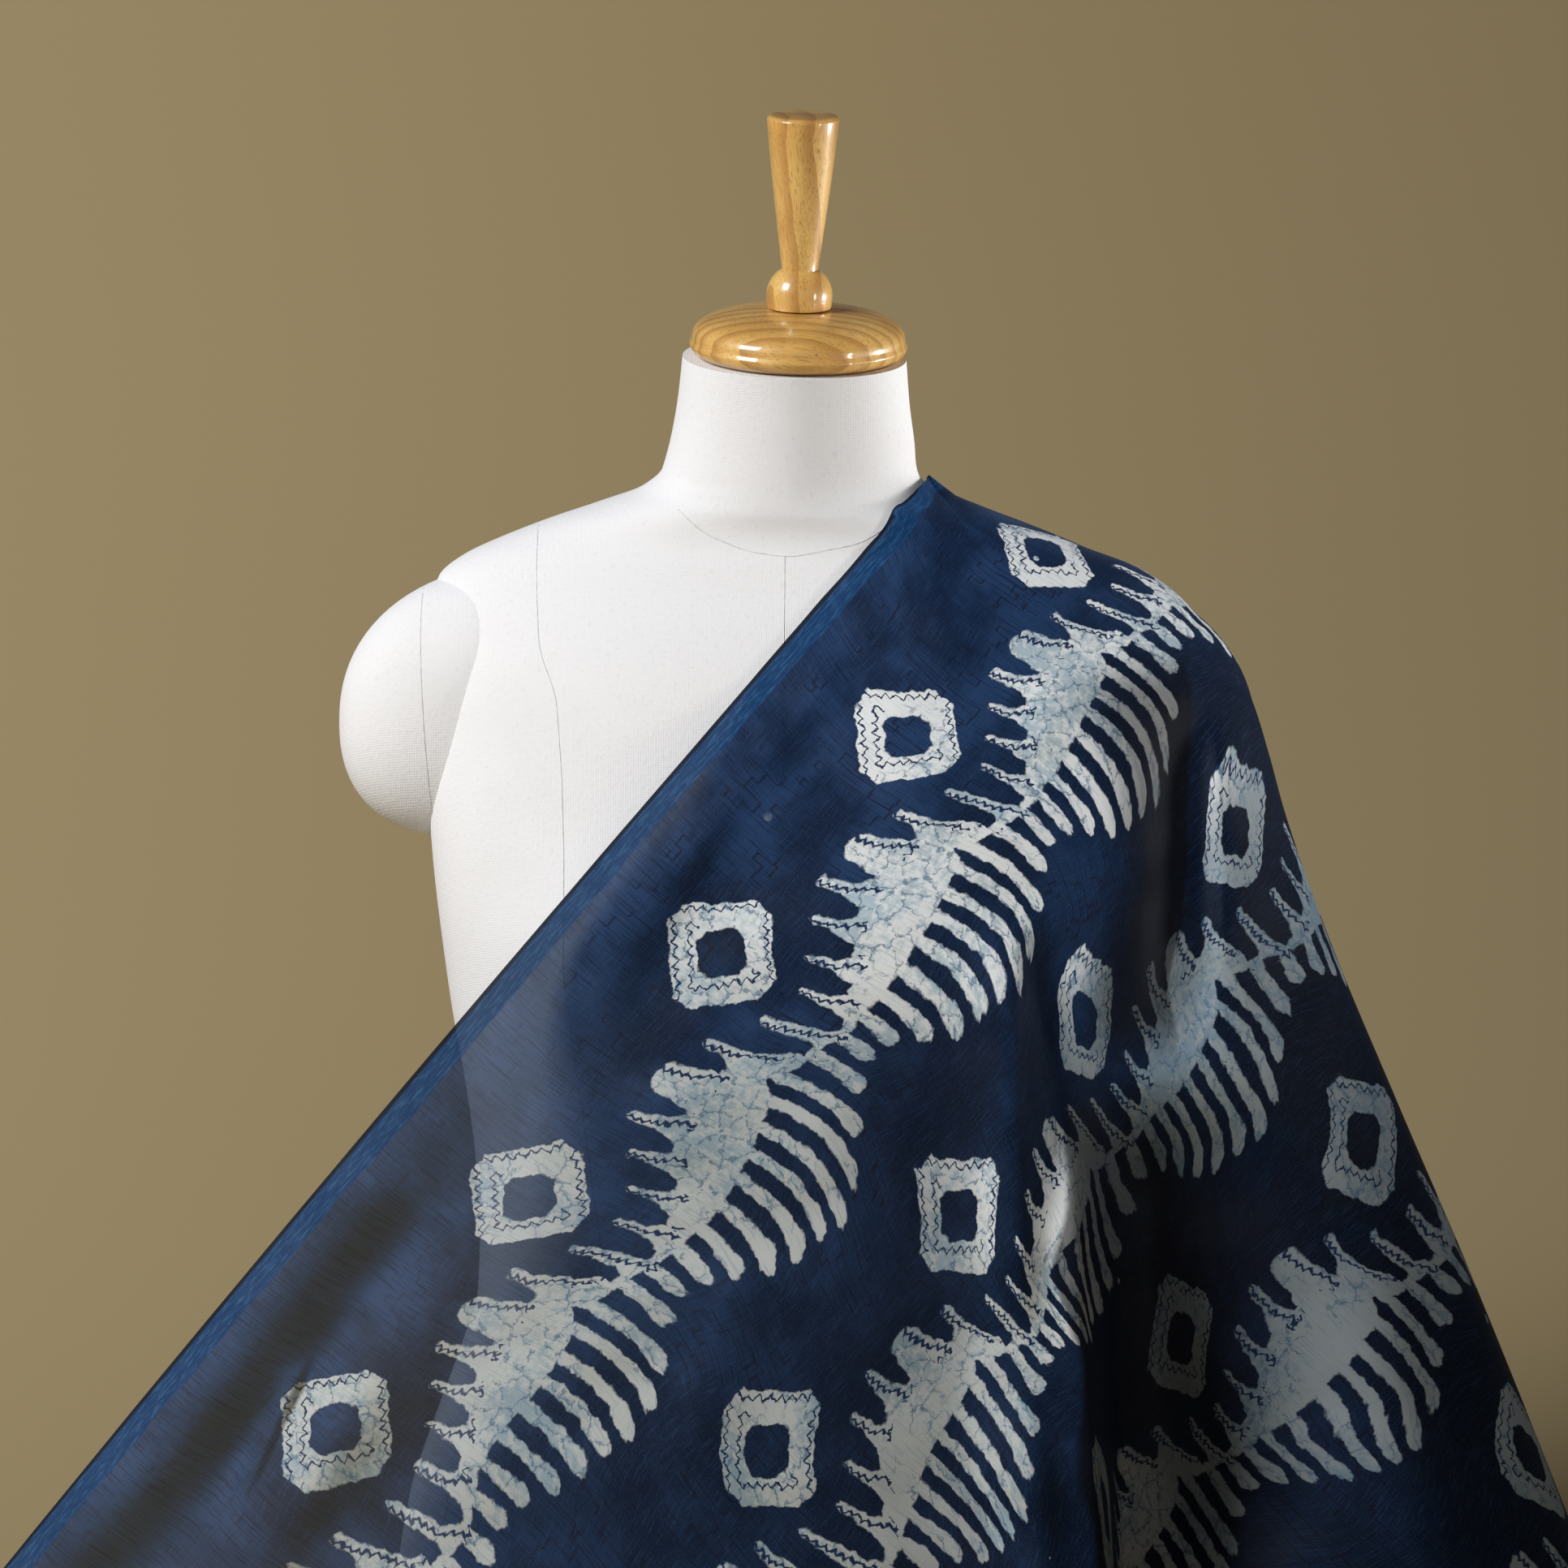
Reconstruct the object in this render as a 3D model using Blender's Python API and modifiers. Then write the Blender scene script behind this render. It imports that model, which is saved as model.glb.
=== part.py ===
"""Indigo block-printed chanderi dress fabric, draped over one shoulder of a canvas dress form.

Metres, +Z up. The origin lies on the flat bottom of the form, on its axis. The camera side is -Y.
The form stands on its flat bottom, and the cloth falls from the shoulder at +X to the same level.
"""
import math

import bmesh
import bpy
from mathutils import Matrix, Vector

# ---------------------------------------------------------------- driving sizes
TURN = math.radians(-7.0)          # the form faces a little towards -X
GAP = 0.0004                       # between pieces that meet
RING_SIDES = 44                    # facets round the form

# Level sections of the form, from the hip to the neck. Half is half the width, front and back are
# the depths from the section's centre. Pitch tips a section forwards, roll tips it towards +X.
FORM_COLUMNS = ("z", "half", "front", "back", "x", "y", "pitch", "roll", "power")
FORM_ROWS = (
    (0.000, 0.196, 0.108, 0.122, 0.000, 0.000, 0.0, 0.0, 2.25),
    (0.045, 0.200, 0.112, 0.126, 0.000, 0.000, 0.0, 0.0, 2.25),
    (0.090, 0.194, 0.111, 0.122, 0.000, 0.000, 0.0, 0.0, 2.25),
    (0.130, 0.181, 0.106, 0.111, 0.000, 0.000, 0.0, 0.0, 2.25),
    (0.165, 0.168, 0.099, 0.098, 0.000, 0.000, 0.0, 0.0, 2.30),
    (0.195, 0.159, 0.095, 0.089, 0.000, 0.000, 0.0, 0.0, 2.30),
    (0.225, 0.158, 0.095, 0.087, 0.000, 0.000, 0.0, 0.0, 2.30),
    (0.260, 0.160, 0.098, 0.090, 0.000, 0.000, 0.0, 0.0, 2.30),
    (0.300, 0.165, 0.104, 0.096, 0.000, 0.000, 0.0, 0.0, 2.35),
    (0.335, 0.171, 0.107, 0.101, 0.000, 0.000, 0.0, 0.0, 2.40),
    (0.370, 0.176, 0.107, 0.105, 0.000, 0.000, 0.0, 0.0, 2.40),
    (0.410, 0.181, 0.103, 0.108, 0.000, 0.001, 0.0, 0.2, 2.40),
    (0.450, 0.184, 0.096, 0.108, 0.000, 0.002, 0.0, 0.6, 2.35),
    (0.490, 0.185, 0.086, 0.103, 0.000, 0.003, 0.0, 1.0, 2.30),
    (0.522, 0.184, 0.074, 0.094, 0.000, 0.004, 0.0, 1.4, 2.20),
    (0.542, 0.180, 0.065, 0.083, 0.000, 0.005, 0.0, 1.7, 2.15),
    (0.553, 0.166, 0.061, 0.077, -0.001, 0.005, 0.5, 2.0, 2.10),
    (0.563, 0.146, 0.058, 0.072, -0.001, 0.005, 1.5, 2.0, 2.10),
    (0.573, 0.121, 0.057, 0.067, -0.002, 0.004, 3.0, 2.0, 2.10),
    (0.582, 0.095, 0.057, 0.062, -0.003, 0.002, 5.0, 2.0, 2.05),
    (0.590, 0.0740, 0.056, 0.059, -0.0035, 0.000, 6.5, 2.0, 2.00),
    (0.600, 0.0630, 0.055, 0.056, -0.0035, -0.002, 8.0, 2.0, 2.00),
    (0.616, 0.0598, 0.054, 0.055, -0.002, -0.005, 10.0, 2.0, 2.00),
    (0.635, 0.0568, 0.053, 0.053, -0.001, -0.009, 12.0, 2.4, 2.00),
    (0.6555, 0.0548, 0.052, 0.052, 0.000, -0.014, 12.0, 2.7, 2.00),
)
BUST_X = 0.088                     # each side of the middle
BUST_Z = 0.352
BUST_WIDE = 0.052
BUST_HIGH = 0.056
BUST_OUT = 0.020

# The padded arm stubs are rounded solids that the body is cut out of. Drop is how far the outer
# end hangs down. The weight of the cloth presses the one under it in a little.
STUB_COLUMNS = ("side", "x", "y", "z", "out", "deep", "high", "drop")
STUBS = {
    "arm_stub_left": (-1, 0.150, 0.004, 0.487, 0.0795, 0.053, 0.067, 0.012),
    "arm_stub_right": (1, 0.150, 0.004, 0.481, 0.0735, 0.052, 0.067, 0.016),
}
STUB_POWER = 2.3
STUB_SIDES = 28
STUB_RINGS = 18

# Turned wood, from the neck upwards along its tilted axis.
CAP_RADIUS = 0.0536
CAP_SHIFT = 0.0018                 # the cap sits this far towards +X on the neck
CAP_POWER = 2.5                    # fullness of the dome
CAP_LIP = 0.006
CAP_RIM = 0.010                    # height of the upright rim
CAP_DOME = 0.0140                  # height of the dome over the rim
BALL_RADIUS = 0.0162
BALL_HEIGHT = 0.0190
BALL_SKIRT = 0.0060                # its straight lowest part
BALL_WAIST = 0.975                 # the skirt draws in to this share of the radius at its foot
BALL_STEP = 0.0010                 # the small step under the handle
HANDLE_FOOT = 0.0088               # radius where the handle meets the ball
HANDLE_TOP = 0.0176
HANDLE_LENGTH = 0.0755
HANDLE_LIP = 0.0015
HANDLE_TAPER = 1.15                # over 1, the taper is slower at the top
HANDLE_STEPS = 5
DOME_STEPS = 7
TURNING_STEPS = 40

# ---------------------------------------------------------------- the cloth
CLOTH_THICK = 0.0012
CLOTH_CLEAR = 0.0018               # nearest that the sheet's middle is laid to the form, less its half
APEX = (0.0645, -0.002, 0.5980)    # beside the neck, where both selvedges start
SELVEDGE_RUN = 0.892               # the front selvedge goes this far to -X for each unit it falls
SELVEDGE_BEND = 0.078              # and steepens a little towards the hem
BACK_RUN = 0.190                   # and the one at the back this far
HEM_UPRIGHT = 0.005                # the last of the hem stands straight up

# Level sections of the drape, from the shoulder to the hem. Side is the outermost line at +X, left
# is the front selvedge, front the foremost part of the front, at front_share of the way along it.
DRAPE_COLUMNS = ("z", "side_x", "side_y", "left_y", "front_y", "back_y", "front_share")
DRAPE_ROWS = (
    (0.5880, 0.0775, -0.002, -0.016, -0.020, 0.021, 0.30),
    (0.5750, 0.1075, -0.006, -0.042, -0.046, 0.045, 0.30),
    (0.5636, 0.1380, -0.009, -0.054, -0.057, 0.057, 0.30),
    (0.5520, 0.1680, -0.013, -0.060, -0.064, 0.066, 0.32),
    (0.5364, 0.1893, -0.016, -0.066, -0.074, 0.076, 0.34),
    (0.5110, 0.2085, -0.018, -0.076, -0.087, 0.088, 0.38),
    (0.4900, 0.2215, -0.019, -0.085, -0.097, 0.095, 0.40),
    (0.4620, 0.2305, -0.020, -0.094, -0.109, 0.103, 0.43),
    (0.4330, 0.2385, -0.020, -0.103, -0.119, 0.110, 0.46),
    (0.3730, 0.2598, -0.018, -0.113, -0.135, 0.120, 0.50),
    (0.2920, 0.2940, -0.014, -0.114, -0.143, 0.128, 0.52),
    (0.2070, 0.3310, -0.008, -0.109, -0.149, 0.136, 0.54),
    (0.0850, 0.3808, -0.002, -0.101, -0.155, 0.143, 0.55),
    (0.0000, 0.4140, 0.004, -0.092, -0.161, 0.150, 0.55),
)
FRONT_POWER = 2.3                  # squareness of the corner from the front to the side
BACK_POWER = 2.2
BACK_SHARE = 0.35                  # the back is at its furthest this share of the way from its edge

# Folds in the front. Each runs from x_top at z_top to x_foot at the hem and grows on the way down.
# It rises over "left" to its crest, drops over "steep" into its valley and recovers over "right".
FOLD_COLUMNS = ("x_top", "z_top", "x_foot", "crest", "valley", "left", "steep", "right")
FOLDS = {
    "main": (0.117, 0.400, 0.149, 0.024, 0.050, 0.050, 0.013, 0.078),
    "soft_ridge": (0.085, 0.360, 0.121, 0.007, 0.006, 0.026, 0.030, 0.020),
    "outer": (0.240, 0.330, 0.345, 0.008, 0.004, 0.040, 0.040, 0.020),
}
FOLD_END = 12                      # how sharply the folds die out at the side line, as a power
FOLD_ROOM = 0.100                  # and in the narrow sections of the shoulder

# Waves that run along the front selvedge in the hanging corner, and down the hidden back.
SELVEDGE_WAVES = 2.5
SELVEDGE_WAVE_DEEP = 0.007
SELVEDGE_WAVE_REACH = 0.230        # inwards from the selvedge
SELVEDGE_WAVE_TOP = 0.360
SELVEDGE_WAVE_FULL = 0.060         # the height where they are at their deepest
BACK_WAVES = 3
BACK_WAVE_DEEP = 0.012
BACK_WAVE_TOP = 0.420
BACK_EDGE_IN = 0.004               # the back selvedge hangs this much closer to the form

# Columns of the sheet's grid across the front, as spans of its width, and across the back.
FRONT_SPANS = ((0.00, 0.52, 12), (0.52, 0.64, 5), (0.64, 0.76, 11))
SIDE_COLUMNS = 9
CORNER_COLUMNS = 9
BACK_COLUMNS = 5
# Rows of the grid, as spans of height.
ROW_SPANS = ((0.588, 0.500, 14), (0.500, 0.400, 7), (0.400, HEM_UPRIGHT, 13))


# ---------------------------------------------------------------- tables and curves
def look_up(rows, height, smooth=False):
    """The row of a table at this height, between its rows. The first column is the height."""
    rows = sorted(rows)
    height = min(max(height, rows[0][0]), rows[-1][0])
    after = next(i for i in range(1, len(rows)) if height <= rows[i][0])
    low, high = rows[after - 1], rows[after]
    share = (height - low[0]) / (high[0] - low[0])
    if not smooth:
        return [a + (b - a) * share for a, b in zip(low, high)]
    before = rows[max(after - 2, 0)]
    beyond = rows[min(after + 1, len(rows) - 1)]
    return [
        hermite(share, high[0] - low[0], low[k], high[k],
                even_slope(before, low, high, k), even_slope(low, high, beyond, k))
        for k in range(len(low))
    ]


def even_slope(before, here, after, k):
    """The slope of column k at a row, which is level where the column turns."""
    rise = (here[k] - before[k]) / (here[0] - before[0]) if here[0] != before[0] else None
    fall = (after[k] - here[k]) / (after[0] - here[0]) if after[0] != here[0] else None
    if rise is None or fall is None:
        return fall if rise is None else rise
    if rise * fall <= 0:
        return 0.0
    return 2 * rise * fall / (rise + fall)


def hermite(share, span, start, end, start_slope, end_slope):
    """A smooth curve from start to end with these slopes."""
    s2, s3 = share ** 2, share ** 3
    return (
        (2 * s3 - 3 * s2 + 1) * start + (s3 - 2 * s2 + share) * span * start_slope
        + (3 * s2 - 2 * s3) * end + (s3 - s2) * span * end_slope
    )


def smooth_step(x):
    x = min(max(x, 0.0), 1.0)
    return x * x * (3 - 2 * x)


def signed_power(value, power):
    return math.copysign(abs(value) ** power, value)


# ---------------------------------------------------------------- the form's shape
def bust_swell(x, z):
    """How far the bust adds to the front of a section."""
    across = math.exp(-(((abs(x) - BUST_X) / BUST_WIDE) ** 2))
    upright = math.exp(-(((z - BUST_Z) / BUST_HIGH) ** 2))
    return BUST_OUT * across * upright


def form_point(row, angle):
    """A point of the body on a section, in the form's own frame."""
    r = dict(zip(FORM_COLUMNS, row))
    x = r["half"] * signed_power(math.cos(angle), 2 / r["power"])
    y = signed_power(math.sin(angle), 2 / r["power"])
    if y < 0:
        y *= r["front"] + bust_swell(x, r["z"])
    else:
        y *= r["back"]
    z = r["z"] + math.tan(math.radians(r["pitch"])) * y - math.tan(math.radians(r["roll"])) * x
    return Vector((x + r["x"], y + r["y"], z))


def stub_ratio(x, y, z):
    """1 on the surface of a rounded solid of unit size, and less inside it."""
    return (abs(x) ** STUB_POWER + abs(y) ** STUB_POWER + abs(z) ** STUB_POWER) ** (1 / STUB_POWER)


def stub_sizes(name):
    return dict(zip(STUB_COLUMNS, STUBS[name]))


def body_depth(point):
    """About how far a point in the form's frame is outside the body. It is negative inside."""
    level = point.z
    for _ in range(3):
        r = dict(zip(FORM_COLUMNS, look_up(FORM_ROWS, level)))
        x, y = point.x - r["x"], point.y - r["y"]
        level = point.z - math.tan(math.radians(r["pitch"])) * y + math.tan(math.radians(r["roll"])) * x
    deep = r["front"] + bust_swell(x, r["z"]) if y < 0 else r["back"]
    ratio = ((abs(x) / r["half"]) ** r["power"] + (abs(y) / deep) ** r["power"]) ** (1 / r["power"])
    return (ratio - 1) * min(r["half"], deep)


def stub_depth(point):
    """About how far a point in the form's frame is outside the arm stub on its side."""
    s = stub_sizes("arm_stub_right" if point.x > 0 else "arm_stub_left")
    out = (abs(point.x) - s["x"]) / s["out"]
    drop = s["drop"] * min(max(out, 0.0), 1.0)
    across = (point.y - s["y"]) / s["deep"]
    up = (point.z + drop - s["z"]) / s["high"]
    return (stub_ratio(out, across, up) - 1) * s["deep"]


def form_depth(point):
    return min(body_depth(point), stub_depth(point))


def form_gap(point):
    """The distance from the form to a point in its frame, and the way out."""
    step = 0.0005
    slope = Vector([
        (form_depth(point + axis * step) - form_depth(point - axis * step)) / (2 * step)
        for axis in (Vector((1, 0, 0)), Vector((0, 1, 0)), Vector((0, 0, 1)))
    ])
    steep = max(slope.length, 0.2)
    return form_depth(point) / steep, slope.normalized()


# ---------------------------------------------------------------- the drape's shape
def selvedge_x(z):
    fall = APEX[2] - z
    return APEX[0] - SELVEDGE_RUN * fall + SELVEDGE_BEND * fall ** 2


def back_edge_x(z):
    return APEX[0] - BACK_RUN * (APEX[2] - z)


def fold_depth(x, z):
    """How far the folds bring the front forwards here."""
    total = 0.0
    for row in FOLDS.values():
        f = dict(zip(FOLD_COLUMNS, row))
        down = (f["z_top"] - z) / f["z_top"]
        grown = smooth_step(down)
        if grown == 0:
            continue
        off = x - (f["x_top"] + (f["x_foot"] - f["x_top"]) * down)
        steep = f["steep"] * (2 - grown)
        if off < 0:
            height = f["crest"] * math.exp(-((off / f["left"]) ** 2))
        elif off < steep:
            height = f["crest"] - (f["crest"] + f["valley"]) * smooth_step(off / steep)
        else:
            height = -f["valley"] * math.exp(-(((off - steep) / f["right"]) ** 2))
        total += grown * height
    return total


def selvedge_wave(x, z):
    """Soft ridges along the front selvedge, which fade towards the body and the shoulder."""
    in_from_edge = x - selvedge_x(z)
    share = in_from_edge / SELVEDGE_WAVE_REACH
    if share > 1:
        return 0.0
    grown = smooth_step((SELVEDGE_WAVE_TOP - z) / (SELVEDGE_WAVE_TOP - SELVEDGE_WAVE_FULL))
    fade = grown * (1 - smooth_step(share))
    return SELVEDGE_WAVE_DEEP * fade * math.sin(2 * math.pi * SELVEDGE_WAVES * share)


def front_point(share, z):
    """A point of the drape's front, at this share of its width from the selvedge to the side."""
    d = dict(zip(DRAPE_COLUMNS, look_up(DRAPE_ROWS, z, smooth=True)))
    left = selvedge_x(z)
    wide = d["side_x"] - left
    x = left + wide * share
    if share < d["front_share"]:
        along = share / d["front_share"]
        y = d["left_y"] + (d["front_y"] - d["left_y"]) * math.sin(along * math.pi / 2)
    else:
        along = (share - d["front_share"]) / (1 - d["front_share"])
        curve = (1 - along ** FRONT_POWER) ** (1 / FRONT_POWER)
        y = d["side_y"] + (d["front_y"] - d["side_y"]) * curve
    soften = (1 - share ** FOLD_END) * smooth_step(wide / FOLD_ROOM)
    return Vector((x, y - (fold_depth(x, z) + selvedge_wave(x, z)) * soften, z))


def back_point(share, z):
    """A point of the drape's back. Share 0 is the side and 1 is the back selvedge."""
    d = dict(zip(DRAPE_COLUMNS, look_up(DRAPE_ROWS, z, smooth=True)))
    edge = back_edge_x(z)
    corner_x = edge + BACK_SHARE * (d["side_x"] - edge)
    split = CORNER_COLUMNS / (CORNER_COLUMNS + BACK_COLUMNS)
    if share < split:
        angle = share / split * math.pi / 2
        x = corner_x + (d["side_x"] - corner_x) * math.cos(angle) ** (2 / BACK_POWER)
        y = d["side_y"] + (d["back_y"] - d["side_y"]) * math.sin(angle) ** (2 / BACK_POWER)
    else:
        along = (share - split) / (1 - split)
        x = corner_x + (edge - corner_x) * along
        y = d["back_y"] - BACK_EDGE_IN * along ** 2
    grown = smooth_step((BACK_WAVE_TOP - z) / BACK_WAVE_TOP) * math.sin(math.pi * min(share, 0.5))
    wave = BACK_WAVE_DEEP * grown * math.sin(2 * math.pi * BACK_WAVES * share)
    return Vector((x, y + wave, z))


def laid_on_form(point):
    """The point, moved off the form where it is too near to it."""
    to_form = Matrix.Rotation(-TURN, 3, "Z")
    room = CLOTH_CLEAR + CLOTH_THICK / 2
    for _ in range(4):
        gap, way = form_gap(to_form @ point)
        if gap >= room:
            break
        point = point + to_form.transposed() @ way * (room - gap)
    return point


def spans(table):
    """Evenly spaced values over each span of a table, without repeats."""
    values = [table[0][0]]
    for start, end, count in table:
        values += [start + (end - start) * (k + 1) / count for k in range(count)]
    return values


def drape_columns():
    """The grid's columns, each as the function and the share that give its points."""
    shares = spans(FRONT_SPANS)
    last = shares[-1]
    shares += [1 - (1 - last) * (1 - (k + 1) / SIDE_COLUMNS) ** 2 for k in range(SIDE_COLUMNS)]
    columns = [(front_point, share) for share in shares]
    back = CORNER_COLUMNS + BACK_COLUMNS
    return columns + [(back_point, (k + 1) / back) for k in range(back)]


def drape_rows():
    """For each row of the grid from the shoulder down, the points of the sheet's middle."""
    columns = drape_columns()
    rows = [[laid_on_form(place(share, z)) for place, share in columns] for z in spans(ROW_SPANS)]
    hem = [Vector((p.x, p.y, 0.0)) for p in rows[-1]]
    return rows + [hem]


# ---------------------------------------------------------------- building
def clear_scene():
    for old in list(bpy.data.objects):
        bpy.data.objects.remove(old, do_unlink=True)


def new_material(name, colour, roughness):
    material = bpy.data.materials.new(name)
    material.use_nodes = True
    shader = material.node_tree.nodes["Principled BSDF"]
    shader.inputs["Base Color"].default_value = (*colour, 1.0)
    shader.inputs["Roughness"].default_value = roughness
    material.diffuse_color = (*colour, 1.0)
    return material


def new_object(name, shape, material, collection):
    mesh = bpy.data.meshes.new(name)
    shape.to_mesh(mesh)
    shape.free()
    mesh.materials.append(material)
    mesh.shade_smooth()
    mesh.set_sharp_from_angle(angle=math.radians(40))
    piece = bpy.data.objects.new(name, mesh)
    collection.objects.link(piece)
    return piece


def grid_faces(shape, rows, closed):
    """Quads between rows of points. Each row closes on itself if closed is set."""
    made = [[shape.verts.new(p) for p in row] for row in rows]
    count = len(rows[0])
    for low, high in zip(made, made[1:]):
        for k in range(count if closed else count - 1):
            after = (k + 1) % count
            shape.faces.new((low[k], low[after], high[after], high[k]))
    return made


def form_body_shape(grow=0.0):
    """The torso and neck, lofted through their sections and closed flat at both ends."""
    shape = bmesh.new()
    rows = [
        [form_point(row, 2 * math.pi * k / RING_SIDES) for k in range(RING_SIDES)]
        for row in FORM_ROWS
    ]
    made = grid_faces(shape, rows, closed=True)
    shape.faces.new(reversed(made[0]))
    shape.faces.new(made[-1])
    bmesh.ops.recalc_face_normals(shape, faces=shape.faces)
    bmesh.ops.triangulate(shape, faces=shape.faces[:], quad_method="FIXED")
    if grow:
        shape.normal_update()
        moves = [(v, v.normal.copy()) for v in shape.verts]
        for v, normal in moves:
            v.co += normal * grow
    return shape


def arm_stub_shape(name):
    """A rounded pad, before the body is cut out of it."""
    s = stub_sizes(name)
    shape = bmesh.new()
    bmesh.ops.create_uvsphere(shape, u_segments=STUB_SIDES, v_segments=STUB_RINGS, radius=1)
    for v in shape.verts:
        n = v.co.normalized()
        size = 1 / stub_ratio(*n)
        out = n.z * size
        v.co = Vector((
            s["side"] * (s["x"] + out * s["out"]),
            s["y"] + n.y * size * s["deep"],
            s["z"] + n.x * size * s["high"] - s["drop"] * min(max(out, 0.0), 1.0),
        ))
    bmesh.ops.recalc_face_normals(shape, faces=shape.faces)
    return shape


def turned_piece(name, profile, material, collection):
    """A profile at +X, listed from the top down, turned about Z by a Screw modifier."""
    shape = bmesh.new()
    points = [shape.verts.new((radius, 0, height)) for radius, height in profile]
    for upper, lower in zip(points, points[1:]):
        shape.edges.new((upper, lower))
    piece = new_object(name, shape, material, collection)
    screw = piece.modifiers.new("turn", "SCREW")
    screw.steps = TURNING_STEPS
    screw.render_steps = TURNING_STEPS
    screw.use_merge_vertices = True
    screw.merge_threshold = 0.00001
    screw.use_smooth_shade = True
    return piece


def cap_profile():
    """A shallow dome over an upright rim with rounded lips."""
    brow = CAP_RADIUS - CAP_LIP * 0.2
    brow_height = CAP_RIM * 0.85
    rise = CAP_RIM + CAP_DOME - brow_height
    profile = []
    for k in range(DOME_STEPS + 1):
        angle = math.pi / 2 * k / DOME_STEPS
        out, up = math.sin(angle), max(math.cos(angle), 0.0)
        profile.append((brow * out ** (2 / CAP_POWER), brow_height + rise * up ** (2 / CAP_POWER)))
    profile += [
        (CAP_RADIUS, CAP_RIM * 0.6),
        (CAP_RADIUS - CAP_LIP * 0.25, CAP_RIM * 0.25),
        (CAP_RADIUS - CAP_LIP, 0.0),
        (0.0, 0.0),
    ]
    return profile


def finial_profile():
    """A ball that is cut flat below, under a handle that widens upwards."""
    top = BALL_HEIGHT + HANDLE_LENGTH
    profile = [
        (0.0, top),
        (HANDLE_TOP - HANDLE_LIP, top),
        (HANDLE_TOP, top - HANDLE_LIP),
    ]
    for k in range(1, HANDLE_STEPS + 1):
        share = k / HANDLE_STEPS
        radius = HANDLE_TOP + (HANDLE_FOOT - HANDLE_TOP) * share ** HANDLE_TAPER
        profile.append((radius, top - HANDLE_LIP - (HANDLE_LENGTH - HANDLE_LIP) * share))
    start = math.asin((HANDLE_FOOT + BALL_STEP) / BALL_RADIUS)
    rise = (BALL_HEIGHT - BALL_STEP / 2 - BALL_SKIRT) / math.cos(start)
    for k in range(DOME_STEPS + 1):
        angle = start + (math.pi / 2 - start) * k / DOME_STEPS
        profile.append((BALL_RADIUS * math.sin(angle), BALL_SKIRT + rise * math.cos(angle)))
    profile += [(BALL_RADIUS * BALL_WAIST, 0.0), (0.0, 0.0)]
    return profile


def build_form(collection, cutters):
    """The dress form: its canvas body, two arm stubs, and the turned wood on its neck."""
    canvas = new_material("canvas", (0.78, 0.78, 0.79), 0.85)
    wood = new_material("varnished_wood", (0.56, 0.33, 0.12), 0.25)
    axis = bpy.data.objects.new("form_axis", None)
    axis.rotation_euler = (0, 0, TURN)
    collection.objects.link(axis)

    body = new_object("form_body", form_body_shape(), canvas, collection)
    body.parent = axis

    cutter = new_object("form_body_cutter", form_body_shape(grow=GAP), canvas, cutters)
    cutter.parent = axis
    cutter.hide_render = True
    cutter.display_type = "WIRE"
    for name in STUBS:
        stub = new_object(name, arm_stub_shape(name), canvas, collection)
        stub.parent = axis
        cut = stub.modifiers.new("body", "BOOLEAN")
        cut.operation = "DIFFERENCE"
        cut.object = cutter

    top = dict(zip(FORM_COLUMNS, FORM_ROWS[-1]))
    seat = bpy.data.objects.new("neck_seat", None)
    seat.parent = axis
    seat.location = (top["x"] + CAP_SHIFT, top["y"], top["z"])
    seat.rotation_euler = (math.radians(top["pitch"]), math.radians(top["roll"]), 0)
    collection.objects.link(seat)
    cap = turned_piece("neck_cap", cap_profile(), wood, collection)
    cap.parent = seat
    cap.location.z = GAP
    finial = turned_piece("finial", finial_profile(), wood, collection)
    finial.parent = seat
    finial.location.z = GAP + CAP_RIM + CAP_DOME + GAP


def build_cloth(collection):
    """The draped sheet: one solid of even thickness, from its middle surface."""
    indigo = new_material("indigo_chanderi", (0.025, 0.055, 0.16), 0.75)
    shape = bmesh.new()
    top = grid_faces(shape, drape_rows(), closed=False)[0]
    apex = shape.verts.new(APEX)
    for here, after in zip(top, top[1:]):
        shape.faces.new((apex, after, here))
    bmesh.ops.recalc_face_normals(shape, faces=shape.faces)
    cloth = new_object("chanderi_cloth", shape, indigo, collection)
    skin = cloth.modifiers.new("thickness", "SOLIDIFY")
    skin.thickness = CLOTH_THICK
    skin.offset = 0
    return cloth


def main():
    clear_scene()
    scene = bpy.context.scene
    collection = bpy.data.collections.new("chanderi_fabric_on_form")
    cutters = bpy.data.collections.new("cutters")
    scene.collection.children.link(collection)
    scene.collection.children.link(cutters)
    build_form(collection, cutters)
    build_cloth(collection)


main()
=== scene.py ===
"""Looks of the indigo block-printed chanderi dress fabric and the canvas dress form that carries it.

Metres, +Z up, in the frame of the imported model. The camera side is -Y.
"""

import math

import bmesh
import bpy
import numpy as np
from mathutils import Matrix, Vector
from mathutils.bvhtree import BVHTree

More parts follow.
